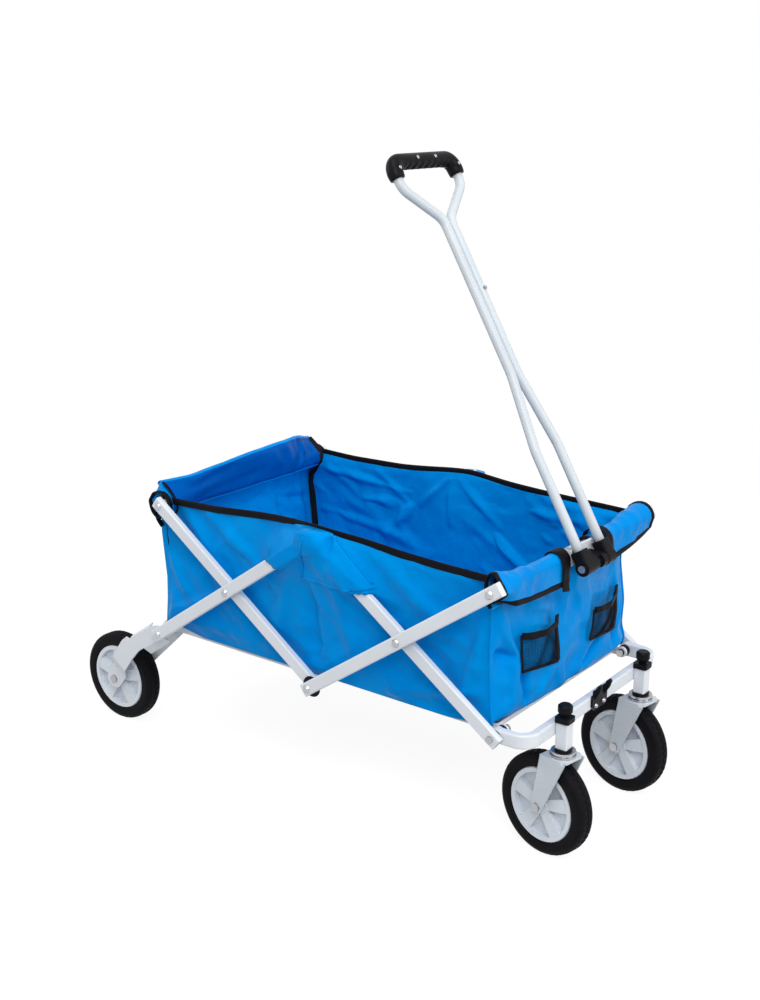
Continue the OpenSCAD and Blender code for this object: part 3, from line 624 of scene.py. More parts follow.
def in_patch(x, z):
    left = table(z, [0.429, 0.519], [0.036, 0.064])
    right = table(z, [0.44, 0.48, 0.519], [0.194, 0.149, 0.1])
    low = table(x, [0.036, 0.11, 0.164, 0.196], [0.4285, 0.427, 0.4325, 0.441])
    return left < x < right and z > low


def nearest_on_patch(x, z):
    """Distance to the patch's outline, and the nearest place on it."""
    best = None
    for (ax, az), (bx, bz) in zip(PATCH, PATCH[1:]):
        t = ((x - ax) * (bx - ax) + (z - az) * (bz - az)) / ((bx - ax) ** 2 + (bz - az) ** 2)
        t = min(1.0, max(0.0, t))
        spot = (ax + t * (bx - ax), az + t * (bz - az))
        far = math.hypot(x - spot[0], z - spot[1])
        if best is None or far < best[0]:
            best = (far, spot)
    return best


def cover_patch(sheet, tag):
    """Doubled cloth over the centre joint, from the side's own cells, with its border on the outline."""
    verts, index, faces, shared = [], {}, [], {}
    for j in range(NV):
        for i in range(NU):
            x, z = (float(a[j, i] + a[j + 1, i + 1]) / 2 for a in (sheet.x, sheet.z))
            if not in_patch(x, z):
                continue
            corners = [(j, i), (j, i + 1), (j + 1, i + 1), (j + 1, i)]
            for key in corners:
                shared[key] = shared.get(key, 0) + 1
                if key not in index:
                    index[key] = len(verts)
                    verts.append(sheet.point(*key, lift=0.0014))
            quad = tuple(index[key] for key in corners)
            faces.append(quad[::-1] if sheet.side == LEFT else quad)
    for key, k in index.items():
        far, spot = nearest_on_patch(verts[k].x, verts[k].z)
        below_rim = verts[k].z < rim_z(sheet.side, verts[k].x) - 0.006
        if shared[key] < 4 and far < 0.006 and below_rim:
            verts[k] = sheet.surface(*spot) - ACROSS * sheet.side * 0.0003
    crumple(cloth("cover_patch_" + tag, (verts, faces), "bag_front", THIN_CLOTH))


def cover_seams(sheet, tag):
    for label, line in PATCH_SEAMS.items():
        path = [sheet.surface(p.x, p.z) for p in resample([(x, 0, z) for x, z in line], 0.004)]
        crumple(ribbon(f"cover_seam_{label}_{tag}", path, 0.005, 0.003, UPWARD, mat=MATS["blue_fabric"], n=8))


def rim_binding(side, tag):
    path = [Vector((x, side * (rim_y(x) + 0.0004), rim_z(side, x) - 0.0015))
            for x in between(TR.x - 0.016, TF.x - 0.014, 120)]
    crumple(ribbon("rim_binding_" + tag, path, 0.0135, 0.0052, UPWARD))


for side, tag in SIDES:
    sheet = SideSheet(side)
    points = [sheet.point(j, i) for j in range(NV + 1) for i in range(NU + 1)]
    ob = cloth("cloth_side_" + tag, (points, quads(NU, NV, side == LEFT)), "bag_front")
    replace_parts(ob, "bag_side_" + tag)
    crumple(ob)
    liner(sheet, tag)
    cover_patch(sheet, tag)
    cover_seams(sheet, tag)
    rim_binding(side, tag)

# ---- rear wall and its standing sleeve
REAR_FOLDS = [
    (-0.17, 0.44, -0.1, 0.3, 0.016, 0.006), (-0.05, 0.46, 0.02, 0.28, 0.018, -0.006),
    (0.1, 0.47, 0.15, 0.33, 0.012, 0.007), (0.17, 0.47, 0.19, 0.36, 0.009, -0.006),
    (0.06, 0.44, 0.14, 0.38, 0.01, 0.006), (0.12, 0.42, 0.2, 0.4, 0.009, 0.0055),
]
SLEEVE_FOLDS = [
    (0.105, 0.045, 0.125, -0.01, 0.01, 0.006), (0.15, 0.05, 0.165, 0.0, 0.007, -0.006),
    (0.172, 0.04, 0.15, -0.005, 0.006, 0.007), (0.19, 0.03, 0.2, -0.01, 0.005, -0.006),
    (0.06, 0.04, 0.085, 0.01, 0.01, 0.004), (-0.18, 0.02, -0.06, 0.04, 0.01, -0.004),
    (-0.1, 0.0, 0.04, 0.016, 0.009, -0.0035),
]
# the sleeve's upper edge: its height and its lean across the wagon
TOP_Y = [-0.2185, -0.2, -0.164, -0.069, 0.0, 0.093, 0.14, 0.17, 0.195, 0.2185]
TOP_Z = [0.532, 0.5335, 0.537, 0.5445, 0.549, 0.552, 0.55, 0.546, 0.539, 0.531]
TOP_X = [-0.025, -0.015, 0.002, 0.007, 0.007, 0.006, -0.002, -0.013, -0.021, -0.027]
SLEEVE_SHARE = 0.42             # the part of v that runs round the sleeve; the rest goes down the wall
REAR_HEM, REAR_SHADE_END = 0.045, 0.215    # in v: the hem's seam, and the end of the doubled cloth above it, whose darker blue is painted shade
REAR_CELLS = 120
RING_Y = 0.2318                 # the bound ends of the sleeve
RING_RADII = {RIGHT: [0.0235, 0.024, 0.0265, 0.027], LEFT: [0.019, 0.0215, 0.024, 0.024]}
END_Y = 0.217                  # where the sleeve's section turns into its end


def sleeve_top(y):
    """Height of the sleeve's upper edge above the tube, and how far it leans forward."""
    return smooth_table(y, TOP_Y, TOP_Z) - TR.z, smooth_table(y, TOP_Y, TOP_X)


def rear_section(y):
    """Points of the sleeve's section, from the hem inside, up over the fold and down behind the tube."""
    top, lean = sleeve_top(y)
    wave = 0.0014 * math.sin(y * 31) + ripple(y, 3, 3, 21, 0.002)
    return [(-0.012, -0.015), (0.004, -0.015), (0.009, -0.014), (0.0118, -0.0085), (SLEEVE_R, 0.0),
            (0.0145 + lean * 0.25 + wave, top * 0.3), (0.0125 + lean * 0.6 + wave, top * 0.58),
            (0.01 + lean + wave, top * 0.82), (0.0082 + lean, top * 0.93), (0.0048 + lean, top - 0.0012),
            (0.001 + lean, top), (-0.0028 + lean, top - 0.0018), (-0.006 + lean, top * 0.86),
            (-0.012 + lean * 0.4, top * 0.6), (-0.015, top * 0.25), (-0.0155, -0.002), (-0.0155, -0.0125)]


def along_section(pts, share):
    """Point at a share of the way through the list pts."""
    k = share * (len(pts) - 1)
    i = min(int(k), len(pts) - 2)
    f = k - i
    return pts[i][0] + f * (pts[i + 1][0] - pts[i][0]), pts[i][1] + f * (pts[i + 1][1] - pts[i][1])


def rear_point(u, v):
    y = -Y_WALL + u * 2 * Y_WALL
    if v < SLEEVE_SHARE:
        dx, dz = along_section(rear_section(y), v / SLEEVE_SHARE)
        slack = ease(v / 0.04) * ease((SLEEVE_SHARE - v) / 0.04)
        dx += (sharp(y, dz, 4, 15, 0.003, 0.5) + crease(y, dz, SLEEVE_FOLDS)) * slack
        beside_tube = abs(dz) < 0.011 and dx > 0 and v > 0.08
        dx = max(dx, SLEEVE_R - 0.0004) if beside_tube else dx
        return Vector((TR.x + dx, y, TR.z + dz))
    t = (v - SLEEVE_SHARE) / (1 - SLEEVE_SHARE)
    z_top = TR.z - 0.0125
    z = z_top + t * (FLOOR_Z - 0.001 - z_top)
    start = TR.x - 0.0155
    x = start + (rear_x(z) + 0.0012 - start) * ease(t / 0.12)
    fold = crease(y, z, REAR_FOLDS) + ripple(2, y, z, 9, 0.006)
    fold += sharp(y, z, 6, 16, 0.0026, 0.6) + sharp(y, z, 8, 33, 0.001)
    return Vector((x - fold * inset(u, 0.05) * inset(t, 0.1, 0.08), y, z))


def rear_wall():
    ob = cloth("cloth_rear_wall", grid(REAR_CELLS, REAR_CELLS, rear_point), "bag_rear")
    # the sleeve's doubled band takes the darker blue, as painted shade
    ob.data.materials.append(MATS["blue_painted_shade"])
    for face in ob.data.polygons:
        v = (face.index // REAR_CELLS + 0.5) / REAR_CELLS
        if REAR_HEM < v < REAR_SHADE_END:
            face.material_index = 1
    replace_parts(ob, "bag_rear_wall")
    hem = [rear_point(k / 80, REAR_HEM) + Vector((0.001, 0, -0.0008)) for k in range(81)]
    ribbon("rear_hem_seam", hem, 0.003, 0.0016, UPWARD, "bag_rear", MATS["blue_fabric"], n=8)


def corner_binding(side, tag):
    """Binding down the inner corner, from the sleeve's upper edge to the floor."""
    y = side * (Y_WALL - 0.005)
    top, lean = sleeve_top(y)
    over = resample([(TR.x + 0.006 + lean, y, TR.z + top - 0.003),
                     (TR.x + 0.0145 + lean * 0.6, y, TR.z + 0.58 * top),
                     (TR.x + SLEEVE_R + 0.0024, y, TR.z + 0.004),
                     (TR.x + SLEEVE_R + 0.001, y, TR.z - 0.014),
                     (rear_x(TR.z - 0.04) + 0.009, y, TR.z - 0.04)], 0.004)
    down = [Vector((rear_x(z) + 0.009, y, z)) for z in between(TR.z - 0.044, FLOOR_Z + 0.004, 40)]
    ribbon("corner_binding_" + tag, over + down, 0.0135, 0.0034, AHEAD + ACROSS * side, "bag_rear")


def end_ring(side, tag):
    """Bound edge of the sleeve's open end: a soft, uneven ring of black binding. Returns its path."""
    radii, path = RING_RADII[side], []
    for k, (c, s) in enumerate(around(48)):
        a = 2 * math.pi * k / 48
        r = table(a, [0, math.pi / 2, math.pi, 3 * math.pi / 2, 2 * math.pi], radii + radii[:1])
        r += ripple(c, s, RING_Y, 2.0, 0.0016)
        path.append(Vector((TR.x - 0.01 + r * c, side * RING_Y, TR.z - 0.001 + r * s)))
    ribbon("sleeve_ring_rear_" + tag, path, 0.0115, 0.004, ACROSS, "bag_rear", closed=True)
    return path


def sleeve_end(side, tag, ring):
    """Cloth between the sleeve's section and its bound end."""
    top, lean = sleeve_top(side * END_Y)

    def spot(u, v):
        a = 2 * math.pi * (u % 1.0)
        c, s = math.cos(a), math.sin(a)
        x = TR.x + lean * max(0, s) + 0.0148 * c * (1 - 0.6 * max(0, s))
        z = TR.z + (top if s > 0 else 0.015) * s
        end = ring[int(round(u * len(ring))) % len(ring)]
        puff = 0.0016 * math.sin(math.pi * v) * math.sin(5 * a)
        y = side * (END_Y + 0.0002)
        t = ease(v)
        return Vector((x + t * (end.x - x) + puff, y + v * (end.y - y), z + t * (end.z - z) + puff))
    cloth("sleeve_end_rear_" + tag, grid(len(ring), 10, spot, flip=side == RIGHT), "bag_rear")


def binding_tail(side, tag):
    """Short tail of binding under the ring."""
    path = resample([(TR.x - 0.025, side * RING_Y, TR.z - 0.02), (TR.x - 0.02, side * 0.23, TR.z - 0.034),
                     (TR.x - 0.014, side * 0.226, TR.z - 0.047)], 0.003)
    ribbon("binding_tail_" + tag, path, 0.011, 0.003, ACROSS, "bag_rear")


rear_wall()
for side, tag in SIDES:
    corner_binding(side, tag)
    sleeve_end(side, tag, end_ring(side, tag))
    binding_tail(side, tag)

# ---- front wall, from behind the front top tube
FRONT_FOLDS = [
    (-0.205, 0.43, -0.165, 0.355, 0.008, 0.008), (-0.205, 0.37, -0.165, 0.35, 0.007, -0.007),
    (-0.165, 0.345, -0.17, 0.28, 0.01, 0.006), (-0.139, 0.322, -0.136, 0.262, 0.0065, -0.011),
    (-0.06, 0.3, -0.1, 0.262, 0.009, 0.006), (-0.035, 0.3, -0.028, 0.255, 0.01, 0.006),
    (0.115, 0.305, 0.052, 0.268, 0.007, -0.011), (0.02, 0.44, 0.06, 0.36, 0.018, 0.006),
    (0.175, 0.43, 0.185, 0.3, 0.012, 0.006), (0.2, 0.33, 0.16, 0.27, 0.009, -0.006),
    (-0.12, 0.43, -0.06, 0.41, 0.012, 0.004),
]
WALL_HEM_Y = [-0.218, -0.14, -0.1, -0.06, -0.022, -0.004, 0.05, 0.11, 0.157, 0.193, 0.2, 0.218]
WALL_HEM_Z = [0.252, 0.252, 0.252, 0.254, 0.2505, 0.258, 0.255, 0.252, 0.2505, 0.252, 0.26, 0.26]


def wall_x(y, z):
    """The front wall bows forward between its corners."""
    belly = 0.02 * (1 - (abs(y) / Y_WALL) ** 2.4)
    height = min(1, max(0, (z - 0.25) / 0.24))
    return front_x(z, max(-1, min(1, y / Y_WALL))) + belly * (0.62 + 0.38 * math.sin(math.pi * height))


def front_point(u, v):
    y = -Y_WALL + u * 2 * Y_WALL
    low = smooth_table(y, WALL_HEM_Y, WALL_HEM_Z, 0.003)
    z = low + v * (TF.z - 0.01 - low)
    fold = crease(y, z, FRONT_FOLDS) * 1.9 + ripple(4, y, z, 10, 0.006)
    fold += sharp(y, z, 2, 13, 0.006, 0.9) + sharp(y, z, 7, 28, 0.0026, -0.4)
    x = wall_x(y, z) + max(-0.015, min(0.0085, fold)) * inset(u, 0.04) * inset(v, 0.05, 0.08)
    under = ease((v - 0.86) / 0.14)
    x = x * (1 - under) + under * (TF.x - SLEEVE_R)
    return Vector((min(x, TF.x + 0.006), y, z))


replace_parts(cloth("cloth_front_wall", grid(130, 72, front_point), "bag_front"), "bag_front_wall")

# ---- front sleeve, in two halves beside the handle
HEM_Y = [-0.25, -0.224, -0.163, -0.074, 0.074, 0.115, 0.179, 0.232, 0.25]
HEM_Z = [0.477, 0.466, 0.458, 0.453, 0.452, 0.451, 0.459, 0.47, 0.477]
SLEEVE_IN, SLEEVE_OUT = 0.042, 0.25      # ends of each half
SLEEVE_SNUG = 0.0146                        # radius near the handle
SLEEVE_FLARE = {RIGHT: 0.0064, LEFT: 0.01}
# section of the right half at its open end, from behind the tube over the top and down to the hem
SLEEVE_MOUTH = [(-0.015, 0.0), (-0.015, 0.008), (-0.014, 0.017), (-0.011, 0.025), (-0.006, 0.03),
                (0.0, 0.031), (0.005, 0.0245), (0.0098, 0.0175), (0.0145, 0.0105), (0.0185, 0.005),
                (0.021, 0.0), (0.0185, -0.0025), (0.015, -0.0055), (0.0105, -0.009), (0.006, -0.012),
                (0.0015, -0.015), (-0.003, -0.0175)]


def front_section(side, y):
    """Points of the sleeve's section: up behind the tube, over it in a half circle and down to the hem."""
    flare = SLEEVE_FLARE[side] * ease((abs(y) - 0.12) / 0.125)
    r, raised = SLEEVE_SNUG + flare, flare * 0.35
    hem = smooth_table(y, HEM_Y, HEM_Z) - TF.z
    over = []
    for k in range(11):
        a = math.pi - math.pi * k / 10
        over.append((r * math.cos(a), raised + r * math.sin(a)))
    for k in range(1, 7):
        f = k / 6
        over.append((r + (0.0165 - r) * f * 0.8, raised * (1 - f) + hem * f))
    if side == RIGHT:
        t = ease((abs(y) - 0.206) / 0.042)
        over = [(a[0] + (b[0] - a[0]) * t, a[1] + (b[1] - a[1]) * t) for a, b in zip(over, SLEEVE_MOUTH)]
    return [(-0.003, -0.03), (-0.009, -0.023), (-r * 0.95, -0.011)] + over


def sleeve_point(side, u, v):
    y = side * (SLEEVE_IN + u * (SLEEVE_OUT - SLEEVE_IN))
    dx, dz = along_section(front_section(side, y), v)
    puff = sharp(y, dz + dx, 3, 26, 0.0022, 1.1) + sharp(y, dz, 8, 52, 0.0009)
    puff = max(0.0, puff + 0.0006) * ease(v / 0.1) * ease((1 - v) / 0.04) / (math.hypot(dx, dz) + 1e-6)
    return Vector((TF.x + dx * (1 + puff), y, TF.z + dz + (dz * puff if dz > 0 else 0)))


def front_sleeve(side, tag):
    mesh = grid(90, 60, lambda u, v: sleeve_point(side, u, v), flip=side == RIGHT)
    ob = cloth("cloth_sleeve_" + tag, mesh, "bag_front")
    if side == RIGHT:
        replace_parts(ob, "front_sleeve")
    hem = [sleeve_point(side, k / 80, 1.0) + Vector((0.0004, 0, 0.0025)) for k in range(81)]
    ribbon("sleeve_binding_" + tag, hem, 0.0105, 0.0042, UPWARD)
    for label, u, first in (("in", 0.012, 0.04), ("out", 1.0, 0.02)):
        path = []
        for k in range(61):
            p = sleeve_point(side, u, first + (0.99 - first) * k / 60)
            path.append(p + Vector((p.x - TF.x, 0, p.z - TF.z)).normalized() * 0.0008)
        ribbon(f"sleeve_edge_{label}_{tag}", path, 0.0095, 0.0036, ACROSS)


def corner_piping(side, tag):
    y = side * (Y_SIDE + 0.0004)
    path = [Vector((front_x(z, side) + 0.0008, y, z)) for z in between(0.248, 0.48, 40)]
    ribbon("corner_piping_" + tag, path, 0.0036, 0.0036, AHEAD, mat=MATS["blue_fabric"])


for side, tag in SIDES:
    front_sleeve(side, tag)
    corner_piping(side, tag)

# ---- net pockets


def pocket(tag, corners):
    """Net with bands round it. Corners as (y, z): top left, top right, low right, low left."""
    a, b, c, d = (Vector((0, y, z)) for y, z in corners)

    def spot(u, v, lift=1.0):
        p = a.lerp(b, u).lerp(d.lerp(c, u), v)
        p.z -= 0.004 * math.sin(math.pi * u) * (1 - v)
        belly = 0.007 * math.sin(math.pi * u) ** 0.7 * (1 - v * v)
        rough = 0.0012 * math.sin(13 * u + 5 * v) * math.sin(math.pi * u)
        p.x = wall_x(p.y, p.z) + 0.0092 + (belly + rough) * lift
        return p

    net = make("pocket_net_" + tag, grid(30, 22, spot), MATS["mesh"], "bag_front", smooth=False)
    wire = net.modifiers.new("Net", "WIREFRAME")
    wire.thickness = 0.001
    wire.use_even_offset = False
    bands = [
        ("top", [spot(k / 24, 0.02) + Vector((0.001, 0, 0)) for k in range(25)], 0.0125, UPWARD),
        ("side_a", [spot(0.0, k / 14, 0) for k in range(15)], 0.006, ACROSS),
        ("side_b", [spot(1.0, k / 14, 0) for k in range(15)], 0.012, ACROSS),
        ("low", [spot(k / 20, 1.0, 0) for k in range(21)], 0.006, UPWARD),
        ("tab", [spot(1.0, 0.03, 0) + Vector((0.0005, 0.002, 0.016 - 0.004 * k)) for k in range(6)], 0.012,
         ACROSS),
    ]
    for label, path, width, wide in bands:
        ribbon(f"pocket_band_{label}_{tag}", path, width, 0.0022, wide, slot="mesh")
    return net


right_net = pocket("right", [(-0.158, 0.3895), (-0.062, 0.384), (-0.052, 0.312), (-0.154, 0.324)])
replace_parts(right_net, "front_pockets")
pocket("left", [(0.07, 0.368), (0.16, 0.372), (0.156, 0.304), (0.056, 0.316)])

# ---- straps over the sleeve, beside the handle
STRAP_R = 0.0176                # radius at which they lie round the sleeve


def strap(tag, points, width):
    """Webbing through points, given as forward and up from the tube in STRAP_R, y, and a further rise."""
    path = [(TF.x + STRAP_R * ahead, y, TF.z + STRAP_R * up + more) for ahead, up, y, more in points]
    ribbon("strap_" + tag, resample(path, 0.004), width, 0.0022, ACROSS)


strap("right", [(-0.9, 0, -0.06, -0.018), (-1, 0, -0.06, 0), (-0.6, 0.88, -0.06, 0),
                (0.5, 0.96, -0.0605, 0), (1.08, 0, -0.0595, 0.002), (1.14, 0, -0.0575, -0.018),
                (1.1, 0, -0.0575, -0.032), (1.34, 0, -0.061, -0.049)], 0.023)
strap("left", [(-0.9, 0, 0.066, -0.02), (-1, 0, 0.068, 0), (-0.8, 1.0, 0.074, 0), (0.3, 1.35, 0.082, 0),
               (1.15, 0, 0.089, 0.01), (1.25, 0, 0.096, -0.014), (1.12, 0, 0.103, -0.038)], 0.02)

# ---- floor of the bag, on the two boards


def floor_cloth(name, body):
    lo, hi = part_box(name)

    def point(u, v):
        x, y = lo.x + u * (hi.x - lo.x), lo.y + v * (hi.y - lo.y)
        z = lo.z + 0.0004 + abs(ripple(x, y, 1, 12, 0.0016)) + abs(ripple(x, y, 5, 37, 0.0006))
        return Vector((x, y, z))
    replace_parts(cloth("cloth_" + name, grid(60, 60, point), body, 0.0008), name)


floor_cloth("floor_front", "base_front")
floor_cloth("floor_rear", "base_rear")

# ---- handle
HINGE = Vector(next(j for j in frame["joints"] if j["name"] == "handle_swing")["pos_m"])
LEAN = math.radians(30.1)
REACH = 0.746                               # from the hinge to the middle of the grip
FOOT_Y, NECK_Y, GRIP_Y = 0.0365, 0.01, 0.088     # half widths at the foot, the neck and the grip
POLE_R, GRIP_R = 0.0084, 0.0142
GRIP_BEND = 0.021                           # radius of the grip's two corners
FORK_ANGLE, FORK_R = math.radians(52), 0.03
LOBE_Z = REACH - 0.03                      # the mouths of the grip


def on_handle(x, y, z):
    """Place in the frame from one along the leaning handle: forward, across and up from the hinge."""
    c, s = math.cos(LEAN), math.sin(LEAN)
    return HINGE + Vector((x * c - z * s, y, x * s + z * c))


FACING = on_handle(1, 0, 0) - HINGE


def s_length(shift, angle, radius):
    """Height of two arcs and the straight between them that carry a tube sideways by shift."""
    return 2 * radius * math.sin(angle) + (shift - 2 * radius * (1 - math.cos(angle))) / math.tan(angle)


def s_bend(y, z, shift, angle, radius, turn, n):
    """Stations along such arcs, where turn is 1 towards the middle."""
    length = s_length(shift, angle, radius)
    first, last = [], []
    for i in range(n + 1):
        aside, up = radius * (1 - math.cos(angle * i / n)), radius * math.sin(angle * i / n)
        first.append((y - turn * aside, z + up))
        last.insert(0, (y - turn * (shift - aside), z + length - up))
    return first + last


def tube(path, radius, squeeze=None, n=28):
    """Round tube along a path of points in one plane across the handle's front."""
    verts = []
    m = len(path)
    for k, p in enumerate(path):
        along = (path[min(k + 1, m - 1)] - path[max(k - 1, 0)]).normalized()
        aside = along.cross(FACING).normalized()
        for c, s in around(n):
            a, b = radius * c, radius * s
            if squeeze:
                a, b = squeeze(k, a, b)
            verts.append(p + FACING * a + aside * b)
    return verts, ring_faces(m, n, flip=True)


def pole(side, tag):
    """One bent tube: apart at the hinge, together along the neck and apart again at the grip."""
    shift = GRIP_Y - NECK_Y
    low = s_bend(FOOT_Y, REACH * 0.275, FOOT_Y - NECK_Y, math.radians(11), 0.06, 1, 5)
    fork_z = LOBE_Z - 0.004 - s_length(shift, FORK_ANGLE, FORK_R)
    high = s_bend(NECK_Y, fork_z, shift, FORK_ANGLE, FORK_R, -1, 12)
    stations = [(FOOT_Y, 0.006), (FOOT_Y, 0.06)] + low + high + [(GRIP_Y, LOBE_Z + 0.006)]
    path = [on_handle(0, side * y, z) for y, z in stations]
    # the tubes take the darker copy of the white paint, as painted shade
    ob = make("handle_pole_" + tag, tube(path, POLE_R), MATS["handle_painted_shade"], "handle")
    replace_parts(ob, "handle_tube_" + tag)


def grip():
    """Arch in two moulded halves, with finger waves along its underside and a parting line over it."""
    inner, count = GRIP_Y - GRIP_BEND, 64
    arch = [(-GRIP_Y, LOBE_Z - 0.0005), (-GRIP_Y, LOBE_Z + 0.003)]
    for k in range(10):
        t = math.pi / 2 * k / 9
        arch.append((-GRIP_Y + GRIP_BEND * (1 - math.cos(t)), REACH - GRIP_BEND + GRIP_BEND * math.sin(t)))
    arch += [(-inner + 2 * inner * k / count, REACH) for k in range(1, count)]
    arch += [(-y, z) for y, z in arch[11::-1]]

    def fingers(k, a, b):
        """Section of the grip: full and round above, waved below; slimmer at the mouths."""
        y, z = arch[k]
        mouth = 1.0 - 0.1 * ease((LOBE_Z + 0.006 - z) / 0.007)
        if abs(y) < inner * 0.94 and b > 0:
            fade = ease((inner * 0.94 - abs(y)) / 0.012)
            b -= fade * (0.0006 + 0.0017 * (1 + math.cos(2 * math.pi * y / 0.0185))) * (b / GRIP_R) ** 2
        return a * mouth, b * mouth

    path = [on_handle(0, y, z) for y, z in arch]
    ob = make("grip_arch", tube(path, GRIP_R, fingers, n=40), MATS["grip_foam"], "handle")
    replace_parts(ob, "grip_front", "grip_back")
    parting = []
    for k in range(2, len(arch) - 2):
        along = (path[k + 1] - path[k - 1]).normalized()
        parting.append(path[k] + along.cross(FACING).normalized() * (GRIP_R - 0.00005))
    ribbon("grip_parting_line", parting, 0.001, 0.0009, FACING, "handle", MATS["grip_foam"], "grip_foam", n=8)


def grip_screw(k, y, z):
    """Pan head with a notched socket, as rings of radius and distance from the grip's middle."""
    socket = 0.0011
    rings = [(0.0, 0.0126), (0.0022, 0.0126), (0.003, 0.0134), (0.0034, 0.014), (0.003, 0.0146),
             (0.0016, 0.0149), (socket, 0.0142), (0.0, 0.0139)]
    verts, n = [], 20
    for r, x in rings:
        for i, (c, s) in enumerate(around(n)):
            notch = 0.72 if r == socket and i % 5 else 1.0
            verts.append(on_handle(x, y + r * notch * c, z + r * notch * s))
    faces = ring_faces(len(rings), n, capped=False)
    make(f"grip_screw_{k}", (verts, faces), MATS["bolt_steel"], "handle")


def bottom_disc(side, tag):
    """Black disc between the two links of the lower centre joint."""
    height, n = 0.2288, 48
    rings = [(0.0045, 0.0004), (0.01, 0.0), (0.0178, 0.0), (0.019, 0.0005), (0.0195, 0.0012),
             (0.019, 0.0019), (0.0178, 0.0024), (0.01, 0.0024), (0.0045, 0.002), (0.0045, 0.0004)]
    verts = [Vector((X_MID + r * c, side * (INNER[1] + 0.0003 + y), height + r * s))
             for r, y in rings for c, s in around(n)]
    faces = ring_faces(len(rings), n, capped=False)
    if side == LEFT:
        faces = [face[::-1] for face in faces]
    make("bottom_disc_" + tag, (verts, faces), MATS["black_plastic"], "links_d")


for side, tag in SIDES:
    pole(side, tag)
grip()
for k, (y, z) in enumerate(((-GRIP_Y + 0.0012, REACH - 0.015), (-0.026, REACH + 0.001),
                            (0.026, REACH + 0.001), (GRIP_Y - 0.0012, REACH - 0.015))):
    grip_screw(k, y, z)
for side, tag in SIDES:
    bottom_disc(side, tag)

# ---- tyre treads
BLOCKS = 46                                     # pairs of blocks round a tyre
BLOCK = [(0.0012, 0.0, 0.0), (0.0075, 0.3, 0.0), (0.0118, 0.42, 0.001), (0.016, 0.42, 0.005)]


def tread(place):
    """Blocks in two staggered rows. BLOCK is each edge's distance from the middle, its slant and its fall."""
    lo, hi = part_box("tyre_" + place)
    centre, radius = (lo + hi) / 2, (hi.z - lo.z) / 2
    turn = Matrix.Rotation(math.radians(-10.5) if "front" in place else 0.0, 3, "Z")
    pitch = 2 * math.pi / BLOCKS
    m = len(BLOCK)
    verts, faces = [], []
    for k in range(BLOCKS):
        for half, stagger in ((-1, 0.0), (1, 0.5)):
            base = len(verts)
            top = base + 2 * m
            for height in (-0.0012, 0.0011):
                for y, slant, fall in BLOCK:
                    for edge in (0, 1):
                        a = (k + stagger) * pitch + (slant + edge) * pitch * 0.6
                        r = radius - fall + height
                        verts.append(centre + turn @ Vector((r * math.cos(a), half * y, r * math.sin(a))))
            for q in range(0, 2 * (m - 1), 2):
                faces.append((top + q, top + q + 1, top + q + 3, top + q + 2))
                faces.append((base + q, base + q + 2, base + q + 3, base + q + 1))
                faces.append((base + q, top + q, top + q + 2, base + q + 2))
                faces.append((base + q + 1, base + q + 3, top + q + 3, top + q + 1))
            q = 2 * (m - 1)
            faces.append((base, base + 1, top + 1, top))
            faces.append((base + q, top + q, top + q + 1, base + q + 1))
    make("tread_wheel_" + place, (verts, faces), MATS["tyre"], "wheel_" + place, smooth=False)


for place in ("front_right", "front_left", "rear_right", "rear_left"):
    tread(place)

# ---- stage, light, camera


def studio_world():
    """White where it is seen, and a soft even light on the object."""
    world = bpy.data.worlds.new("studio")
    scene.world = world
    world.use_nodes = True
    nt = world.node_tree
    back = nt.nodes["Background"]
    back.inputs["Color"].default_value = (1, 1, 1, 1)
    nt.links.new(remap(nt, seen(nt), 0.42, 1.0, 0.0, 1.0), back.inputs["Strength"])


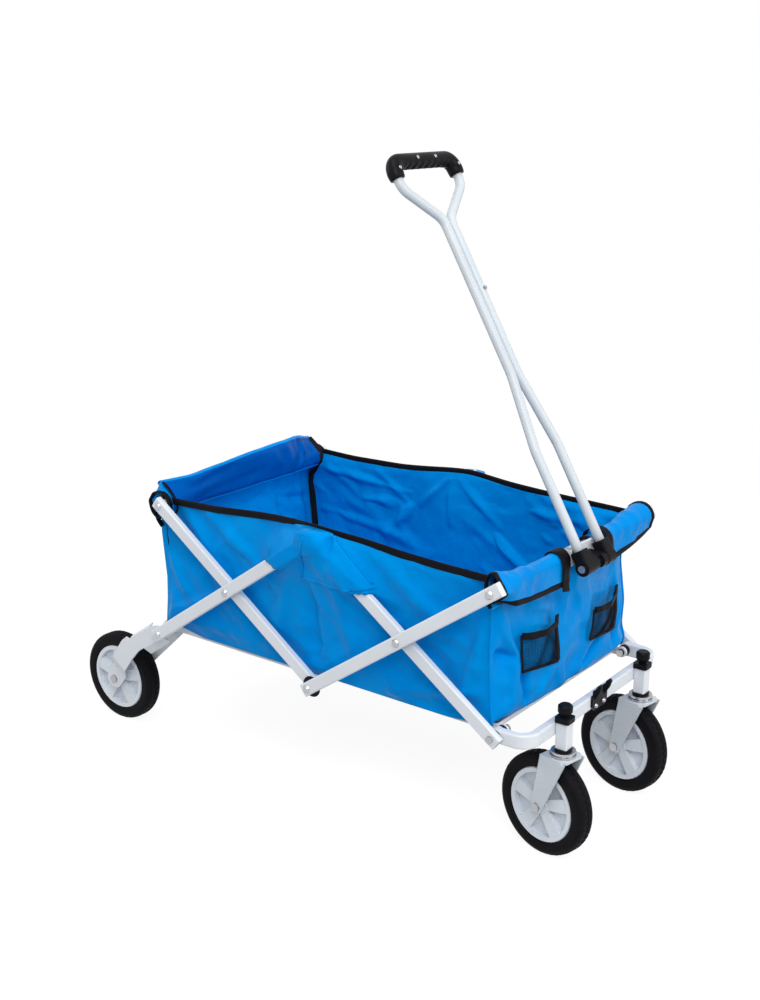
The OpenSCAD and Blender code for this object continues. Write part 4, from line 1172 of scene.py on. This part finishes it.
def studio_floor():
    """Disc that shows as white with a faint shadow, fades into the white world, and lights as pale grey."""
    bpy.ops.mesh.primitive_circle_add(vertices=96, radius=9.0, fill_type="NGON", location=(0, 0, 0))
    floor = bpy.context.object
    floor.name = "studio_floor"
    mat = bpy.data.materials.new("studio_floor")
    mat.use_nodes = True
    nt = mat.node_tree
    nt.nodes.clear()
    out = node(nt, "ShaderNodeOutputMaterial")
    pale = node(nt, "ShaderNodeBsdfDiffuse", Color=(0.55, 0.55, 0.555, 1))
    shadow = node(nt, "ShaderNodeBsdfDiffuse", Color=(0.16, 0.16, 0.165, 1))
    glow = node(nt, "ShaderNodeEmission", Color=(1, 1, 1, 1), Strength=0.9)
    white = node(nt, "ShaderNodeEmission", Color=(1, 1, 1, 1), Strength=1.0)
    coords = node(nt, "ShaderNodeTexCoord")
    span = node(nt, "ShaderNodeVectorMath", operation="LENGTH")
    nt.links.new(coords.outputs["Object"], span.inputs[0])

    def blend(kind, *sockets):
        made = node(nt, kind)
        for socket, place in zip(sockets, made.inputs):
            nt.links.new(socket, place)
        return made.outputs[0]

    near = blend("ShaderNodeAddShader", shadow.outputs[0], glow.outputs[0])
    away = remap(nt, span.outputs["Value"], 0, 1, 1.2, 2.6)
    shown = blend("ShaderNodeMixShader", away, near, white.outputs[0])
    nt.links.new(blend("ShaderNodeMixShader", seen(nt), pale.outputs[0], shown), out.inputs["Surface"])
    floor.data.materials.append(mat)


def lamp(name, place, aim, size, power):
    data = bpy.data.lights.new(name, "AREA")
    data.shape = "RECTANGLE"
    data.size, data.size_y = size
    data.energy = power
    ob = bpy.data.objects.new(name, data)
    ob.location = place
    ob.rotation_mode = "QUATERNION"
    ob.rotation_quaternion = (Vector(aim) - Vector(place)).to_track_quat("-Z", "Y")
    scene.collection.objects.link(ob)


def camera():
    ob = bpy.data.objects.new("camera", bpy.data.cameras.new("camera"))
    scene.collection.objects.link(ob)
    ob.data.sensor_width = 36
    ob.data.lens = 49.76
    ob.location = (1.5104, -1.9847, 1.2542)
    ob.rotation_mode = "QUATERNION"
    look = (Vector((0.0213, 0.0, 0.508)) - ob.location).to_track_quat("-Z", "Y")
    ob.rotation_quaternion = look @ Matrix.Rotation(math.radians(0.36), 3, "Z").to_quaternion()
    scene.camera = ob


studio_world()
studio_floor()
lamp("key", (3.2, -3.5, 4.6), (0.0, 0.0, 0.5), (2.8, 2.8), 205)
lamp("top", (0.2, -1.2, 5.4), (0.0, 0.0, 0.5), (3.0, 3.0), 84)
lamp("left", (-4.3, -2.3, 2.5), (0.0, 0.0, 0.4), (2.2, 2.8), 42)
lamp("front", (4.8, 1.1, 2.2), (0.2, 0.0, 0.4), (2.2, 2.2), 84)
camera()
scene.view_settings.view_transform = "Standard"
